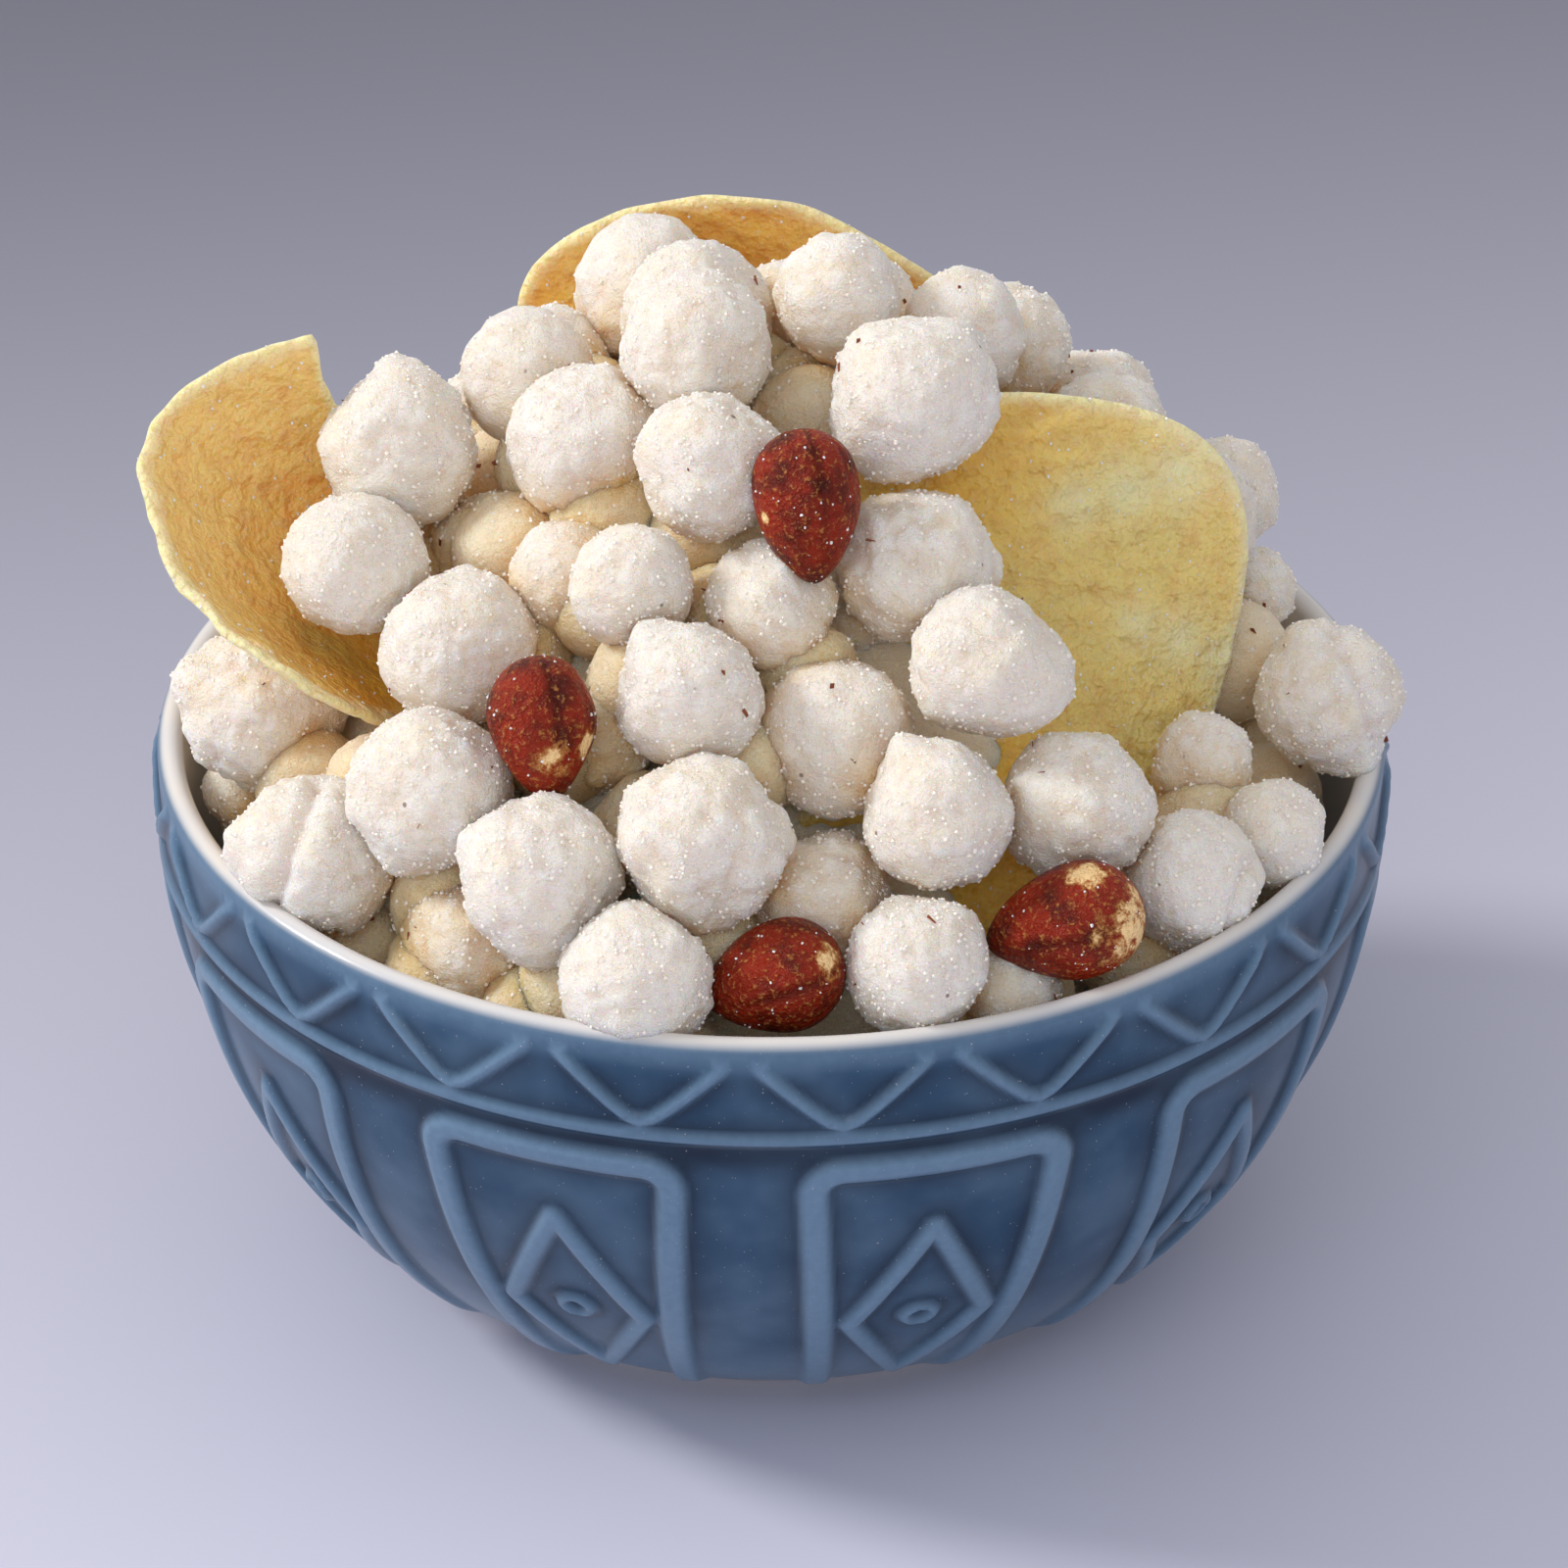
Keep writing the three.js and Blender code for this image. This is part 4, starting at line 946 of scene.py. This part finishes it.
def crisp_material(settings):
    material, nodes, shader, place = new_material(
        "Fried crisp", Subsurface_Weight=0.8, Subsurface_Scale=0.003,
        Subsurface_Radius=(1.0, 0.6, 0.18), IOR=1.45, Specular_IOR_Level=0.4)
    broad = nodes.noise(place, 60, 3)
    grain = nodes.noise(place, 1100, 2, 0.6)
    edge = nodes.attribute("edge")
    # golden spots: partly the slice's own colour, partly a painted glow
    patchy = nodes.math("MULTIPLY", nodes.attribute("golden_glow"), nodes.span(broad, 0.2, 0.6, 0.6, 1.0))
    flesh = nodes.mix(patchy, settings.flesh, settings.golden_glow)
    toast = nodes.math("MULTIPLY", nodes.span(nodes.noise(place, 420, 3, 0.65), 0.42, 0.8), 0.5)
    flesh = nodes.mix(toast, flesh, settings.toasted)
    pale = nodes.math("ADD", nodes.math("MULTIPLY", edge, 0.6), nodes.span(grain, 0.5, 0.8, 0, 0.25))
    flesh = nodes.mix(pale, flesh, settings.pale)
    # painted light: pale patches where light falls between the puffs
    flesh = nodes.mix(nodes.math("MULTIPLY", nodes.attribute("painted_light"), 0.75), flesh, settings.painted_light)
    roughness = nodes.span(grain, 0.3, 0.7, 0.4, 0.7)
    bump = nodes.bump(nodes.noise(place, 520, 2), 0.0014, 1.0)
    bump = nodes.bump(grain, 0.0007, 1.0, bump)
    finish_material(nodes, shader, Base_Color=flesh, Roughness=roughness, Normal=bump)
    return material


class MAKHANA_OT_crisps(bpy.types.Operator):
    """Build the four crisps"""

    bl_idname = "makhana.crisps"
    bl_label = "Crisps"

    def execute(self, context):
        settings = context.scene.makhana_crisps
        material = crisp_material(settings)
        for order, (name, size) in enumerate(CRISPS.items()):
            points, faces, attributes = crisp_points(size, settings.thickness / MM, 40 + 10 * order)
            mesh = new_mesh("crisp" + name[4:], points, faces, attributes)
            add_piece("crisp" + name[4:], mesh, material, "crisp", name)
        return {"FINISHED"}


# ---- peanuts --------------------------------------------------------------------------------
class PeanutSettings(bpy.types.PropertyGroup):
    skin: colour("Skin", "The roasted skin", (0.27, 0.018, 0.004))
    dark: colour("Dark skin", "Its dark end and creases", (0.035, 0.003, 0.001))
    gold: colour("Flecks", "Where the skin is thin", (0.55, 0.24, 0.06))
    kernel: colour("Kernel", "Where the skin is off", (1.0, 0.68, 0.33))


def peanut_points(name, at, blunt, half, seed):
    """An egg with a pointed tip, a crease and lengthwise wrinkles."""
    rows, columns = PEANUT_NET.values()
    axis = unit(blunt)
    side = unit(np.cross(axis, NEAR))
    front = np.cross(side, axis)
    height = np.linspace(-math.pi / 2, math.pi / 2, rows)
    around = np.arange(columns) * 2 * math.pi / columns
    a, b = (g.ravel() for g in np.meshgrid(height, around, indexing="ij"))
    radius = PEANUT_FORM["width"] * half[1] * np.cos(a) * (1 + PEANUT_FORM["pear"] * np.sin(a))
    length_way = PEANUT_FORM["length"] * half[0] * np.sin(a)
    facing = np.stack([np.cos(b), np.sin(b), np.zeros_like(b)], axis=1)
    wrinkle = waves(facing * 6 + np.stack([0 * a, 0 * a, a], axis=1), seed, 0.9, 16)
    lumps = waves(np.stack([radius * np.cos(b), radius * np.sin(b), length_way], axis=1), seed + 1, 4.5)
    from_crease = np.angle(np.exp(1j * (b - math.pi / 2 + PEANUT_CREASE["at"])))
    crease = np.exp(-((from_crease / PEANUT_CREASE["width"]) ** 2))
    crease = crease * smooth(-1.2, 0.2, a)
    radius = radius * (1 + PEANUT_FORM["wrinkle"] * wrinkle + PEANUT_FORM["lump"] * lumps
                       - PEANUT_CREASE["depth"] * crease)
    tip = np.exp(-(((a + math.pi / 2) / PEANUT_FORM["tip_width"]) ** 2))
    points = (np.outer(radius * np.cos(b), side) + np.outer(radius * np.sin(b), front)
              + np.outer(length_way - PEANUT_FORM["tip"] * tip, axis))
    peels = [(*seen(angle, near), wide, 1.0) for angle, near, wide in PEELS[name]]
    peel = patches(unit(points + 1e-6), peels)
    dark = np.clip(tip + 0.6 * crease, 0, 1)
    faces = triangles(grid_faces(rows, columns, True))
    return points + np.array(at), faces, {"peel": peel, "dark": dark}


def peanut_material(settings):
    material, nodes, shader, place = new_material(
        "Roasted peanut skin", IOR=1.45, Specular_IOR_Level=0.2, Subsurface_Weight=0.08,
        Subsurface_Scale=0.0015, Subsurface_Radius=(1.0, 0.35, 0.2))
    broad = nodes.noise(place, 260, 4)
    grain = nodes.noise(place, 1600, 2, 0.65)
    skin = nodes.mix(nodes.span(broad, 0.4, 0.7, 0.0, 0.8), settings.skin, settings.dark)
    skin = nodes.mix(nodes.attribute("dark"), skin, settings.dark)
    flecks = nodes.math("MULTIPLY", nodes.span(grain, 0.54, 0.7), 0.6)
    skin = nodes.mix(flecks, skin, settings.gold)
    ragged = nodes.math("SUBTRACT", nodes.noise(place, 520, 5, 0.7), 0.5)
    peel = nodes.math("ADD", nodes.attribute("peel"), nodes.math("MULTIPLY", ragged, 2.6))
    skin = nodes.mix(nodes.span(peel, 0.35, 0.75, 0, 0.75), skin, settings.gold)
    skin = nodes.mix(nodes.span(peel, 0.62, 0.95), skin, settings.kernel)
    roughness = nodes.span(grain, 0.3, 0.7, 0.24, 0.42)
    bump = nodes.bump(grain, 0.0008, 1.0)
    finish_material(nodes, shader, Base_Color=skin, Roughness=roughness, Normal=bump)
    return material


class MAKHANA_OT_peanuts(bpy.types.Operator):
    """Build the four peanuts"""

    bl_idname = "makhana.peanuts"
    bl_label = "Peanuts"

    def execute(self, context):
        settings = context.scene.makhana_peanuts
        material = peanut_material(settings)
        for order, (name, (at, blunt, half)) in enumerate(PEANUTS.items()):
            points, faces, attributes = peanut_points(name, at, blunt, half, 90 + 5 * order)
            mesh = new_mesh(name + "_kernel", points, faces, attributes)
            add_piece(name + "_kernel", mesh, material, "peanut", name)
        return {"FINISHED"}


# ---- salt, crumbs and slivers ---------------------------------------------------------------
class SaltSettings(bpy.types.PropertyGroup):
    seed: IntProperty(name="Seed", description="Moves every grain", default=5)
    grain: length("Grain", "The largest grain", 0.36 * MM)
    salt: colour("Salt", "The grains", (0.92, 0.91, 0.90))
    cloudy: colour("Cloudy salt", "Darker places in the grains", (0.8, 0.78, 0.74))
    crumb: length("Crumb", "The largest crumb", 0.7 * MM)
    starch: colour("Crumbs", "Crumbs and blisters of the puffs", (0.93, 0.89, 0.83))
    toast: colour("Toasted crumbs", "Darker places in the crumbs", (0.90, 0.83, 0.73))
    sliver: length("Sliver", "The longest sliver of peanut skin", 1.5 * MM)
    skin: colour("Slivers", "Loose peanut skin", (0.30, 0.07, 0.02))
    dark: colour("Dark slivers", "Darker places in the loose skin", (0.12, 0.025, 0.01))


def grain_material(name, roughness, ior, scale, light, dark):
    material, nodes, shader, place = new_material(name, Roughness=roughness, IOR=ior)
    finish_material(nodes, shader, Base_Color=nodes.mix(nodes.noise(place, scale, 1), light, dark))
    return material


def scatter_tree(name, material, grain_kind, grain_size):
    """Scatters turned grains over faces. Its inputs are the density, the two sizes and the seed."""
    tree = bpy.data.node_groups.new(name, "GeometryNodeTree")
    sockets = {}
    tree.interface.new_socket("Geometry", in_out="INPUT", socket_type="NodeSocketGeometry")
    for key in ("Density", "Smallest", "Largest", "Seed"):
        kind = "NodeSocketInt" if key == "Seed" else "NodeSocketFloat"
        made = tree.interface.new_socket(key, in_out="INPUT", socket_type=kind)
        sockets[key] = made.identifier
    tree.interface.new_socket("Geometry", in_out="OUTPUT", socket_type="NodeSocketGeometry")
    nodes = Nodes(tree)
    given = nodes.add("NodeGroupInput").outputs
    spots = nodes.add("GeometryNodeDistributePointsOnFaces", {
        "Mesh": given["Geometry"], "Density": given["Density"], "Seed": given["Seed"]})
    size = nodes.add("FunctionNodeRandomValue", data_type="FLOAT")
    turn = nodes.add("FunctionNodeRandomValue", data_type="FLOAT_VECTOR")
    turn.inputs[1].default_value = FULL_TURNS
    tree.links.new(given["Smallest"], size.inputs[2])
    tree.links.new(given["Largest"], size.inputs[3])
    for node in (size, turn):
        tree.links.new(given["Seed"], node.inputs["Seed"])
    grain = nodes.add(grain_kind, grain_size)
    placed = nodes.add("GeometryNodeInstanceOnPoints", {
        "Points": spots.outputs["Points"], "Instance": grain.outputs["Mesh"],
        "Rotation": turn.outputs[0], "Scale": size.outputs[1]})
    real = nodes.add("GeometryNodeRealizeInstances", {"Geometry": placed.outputs[0]})
    dressed = nodes.add("GeometryNodeSetMaterial", {"Geometry": real.outputs[0], "Material": material})
    nodes.add("NodeGroupOutput", {"Geometry": dressed.outputs[0]})
    return tree, sockets


def scattered(name, sources, tree, sockets, values):
    """Runs a scatter tree over pieces and returns the grains as one plain mesh."""
    parts = []
    for source in sources:
        points = np.zeros(len(source.data.vertices) * 3, np.float32)
        source.data.vertices.foreach_get("co", points)
        source.data.calc_loop_triangles()
        faces = np.zeros(len(source.data.loop_triangles) * 3, np.int32)
        source.data.loop_triangles.foreach_get("vertices", faces)
        parts.append((points.reshape(-1, 3) / MM, faces.reshape(-1, 3)))
    carrier = bpy.data.objects.new("carrier", new_mesh("carrier", *join(parts)))
    bpy.context.scene.collection.objects.link(carrier)
    modifier = carrier.modifiers.new("Scatter", "NODES")
    modifier.node_group = tree
    for key, value in values.items():
        modifier[sockets[key]] = value
    graph = bpy.context.evaluated_depsgraph_get()
    mesh = bpy.data.meshes.new_from_object(carrier.evaluated_get(graph))
    mesh.name = name
    carrier.modifiers.remove(modifier)
    bpy.data.objects.remove(carrier)
    return mesh


class MAKHANA_OT_salt(bpy.types.Operator):
    """Scatter salt over the food, and crumbs and slivers of skin over the makhana"""

    bl_idname = "makhana.salt"
    bl_label = "Salt"

    def execute(self, context):
        settings = context.scene.makhana_salt
        salt = scatter_tree(
            "Salt over food",
            grain_material("Salt", 0.25, 1.54, 2000, settings.salt, settings.cloudy),
            "GeometryNodeMeshCube", {"Size": (1.0, 0.8, 0.7)})
        crumbs = scatter_tree(
            "Crumbs over makhana",
            grain_material("Makhana crumb", 0.45, 1.45, 600, settings.starch, settings.toast),
            "GeometryNodeMeshUVSphere", {"Segments": 5, "Rings": 2, "Radius": 0.5})
        slivers = scatter_tree(
            "Slivers over makhana",
            grain_material("Loose peanut skin", 0.5, 1.45, 900, settings.skin, settings.dark),
            "GeometryNodeMeshCube", {"Size": (1.0, 0.4, 0.08)})
        pieces = bpy.context.scene.objects
        front = ["makhana_smooth", "makhana_shaped", "makhana_craggy"]
        crisps = ["crisp" + name[4:] for name in CRISPS]
        groups = {
            "salt_on_makhana": ([*front, "makhana_far"], salt, settings.grain),
            "salt_on_crisps": (crisps, salt, settings.grain),
            "salt_on_peanuts": ([name + "_kernel" for name in PEANUTS], salt, settings.grain),
            "crumbs_on_makhana": (front, crumbs, settings.crumb),
            "crumbs_at_back": (["makhana_far", "makhana_deep"], crumbs, settings.crumb),
            "skin_slivers": ([*front, "makhana_far", "makhana_deep"], slivers, settings.sliver),
        }
        for order, (name, (names, (tree, sockets), largest)) in enumerate(groups.items()):
            values = {"Density": GRAINS_PER_AREA[name], "Smallest": largest * SMALLEST_GRAIN,
                      "Largest": largest, "Seed": settings.seed + order}
            mesh = scattered(name, [pieces[n] for n in names], tree, sockets, values)
            add_piece(name, mesh, None, "puff")
        return {"FINISHED"}


# ---- stage ----------------------------------------------------------------------------------
class StageSettings(bpy.types.PropertyGroup):
    # painted light: the floor's colour runs from near to far as the light falls off
    near: colour("Near floor", "The floor in front", (0.66, 0.66, 0.79))
    far: colour("Far floor", "The floor behind", (0.10, 0.10, 0.135))
    key: power("Key light", "Power of the key light", 43.0)
    fill: power("Fill light", "Power of the front fill", 5.0)
    sky: FloatProperty(name="Sky", description="Strength of the light all round", default=0.7)


def hang(name, data, place, aim):
    """Puts a light or a camera at a place, turned to what it looks at."""
    thing = bpy.data.objects.new(name, data)
    thing.location = place
    thing.rotation_mode = "QUATERNION"
    thing.rotation_quaternion = (Vector(aim) - Vector(place)).to_track_quat("-Z", "Y")
    bpy.context.scene.collection.objects.link(thing)
    return thing


def add_light(name, watts, place, size, tint):
    data = bpy.data.lights.new(name, "AREA")
    data.shape, data.size, data.energy, data.color = "DISK", size, watts, tint
    hang(name, data, place, AIM)


class MAKHANA_OT_stage(bpy.types.Operator):
    """Lay the floor, hang the lights and set up the camera"""

    bl_idname = "makhana.stage"
    bl_label = "Stage"

    def execute(self, context):
        settings = context.scene.makhana_stage
        half, level = FLOOR["half"], FLOOR["level"]
        corners = np.array([(-half, -half, level), (half, -half, level),
                            (half, half, level), (-half, half, level)])
        floor = bpy.data.objects.new("floor", new_mesh("floor", corners, np.array([[0, 1, 2, 3]])))
        context.scene.collection.objects.link(floor)
        floor.data.materials.append(floor_material(settings))
        add_light("key", settings.key, **KEY)
        add_light("fill", settings.fill, **FILL)
        world = bpy.data.worlds.new("soft sky")
        world.use_nodes = True
        back = world.node_tree.nodes["Background"]
        back.inputs["Color"].default_value = (*SKY_TINT, 1.0)
        back.inputs["Strength"].default_value = settings.sky
        context.scene.world = world
        context.scene.view_settings.view_transform = "Standard"
        data = bpy.data.cameras.new("camera")
        data.lens, data.sensor_width, data.clip_start, data.clip_end = LENS, SENSOR, 0.05, 20.0
        context.scene.camera = hang("camera", data, EYE, LOOK_AT)
        return {"FINISHED"}


def floor_material(settings):
    material, nodes, shader, place = new_material("Pale paper", Roughness=0.6)
    # painted light: the colour grows darker towards the back and slants across, as the light's falloff
    across, back, _ = nodes.add("ShaderNodeSeparateXYZ", {"Vector": place}).outputs
    back = nodes.math("SUBTRACT", back, nodes.math("MULTIPLY", across, FLOOR["slant"]))
    paper_and_painted_falloff = nodes.mix(nodes.span(back, FLOOR["near"], FLOOR["far"]), settings.near, settings.far)
    finish_material(nodes, shader, Base_Color=paper_and_painted_falloff)
    return material


# ---- the add-on -----------------------------------------------------------------------------
SETTINGS = {
    "makhana_bowl": BowlSettings,
    "makhana_puffs": MakhanaSettings,
    "makhana_crisps": CrispSettings,
    "makhana_peanuts": PeanutSettings,
    "makhana_salt": SaltSettings,
    "makhana_stage": StageSettings,
}
OPERATORS = (MAKHANA_OT_bowl, MAKHANA_OT_puffs, MAKHANA_OT_crisps, MAKHANA_OT_peanuts,
             MAKHANA_OT_salt, MAKHANA_OT_stage)


class MAKHANA_PT_panel(bpy.types.Panel):
    """Lists the pieces and their settings"""

    bl_idname = "MAKHANA_PT_panel"
    bl_label = "Bowl of makhana"
    bl_space_type = "VIEW_3D"
    bl_region_type = "UI"
    bl_category = "Makhana"

    def draw(self, context):
        for key, operator in zip(SETTINGS, OPERATORS):
            box = self.layout.box()
            box.operator(operator.bl_idname)
            settings = getattr(context.scene, key)
            for name in settings.__annotations__:
                box.prop(settings, name)


def register():
    for cls in (*SETTINGS.values(), *OPERATORS, MAKHANA_PT_panel):
        bpy.utils.register_class(cls)
    for key, cls in SETTINGS.items():
        setattr(bpy.types.Scene, key, PointerProperty(type=cls))


def unregister():
    for key in SETTINGS:
        delattr(bpy.types.Scene, key)
    for cls in reversed((*SETTINGS.values(), *OPERATORS, MAKHANA_PT_panel)):
        bpy.utils.unregister_class(cls)


def main():
    register()
    bpy.ops.makhana.bowl()
    bpy.ops.makhana.puffs()
    bpy.ops.makhana.crisps()
    bpy.ops.makhana.peanuts()
    bpy.ops.makhana.salt()
    bpy.ops.makhana.stage()


if __name__ == "__main__":
    main()
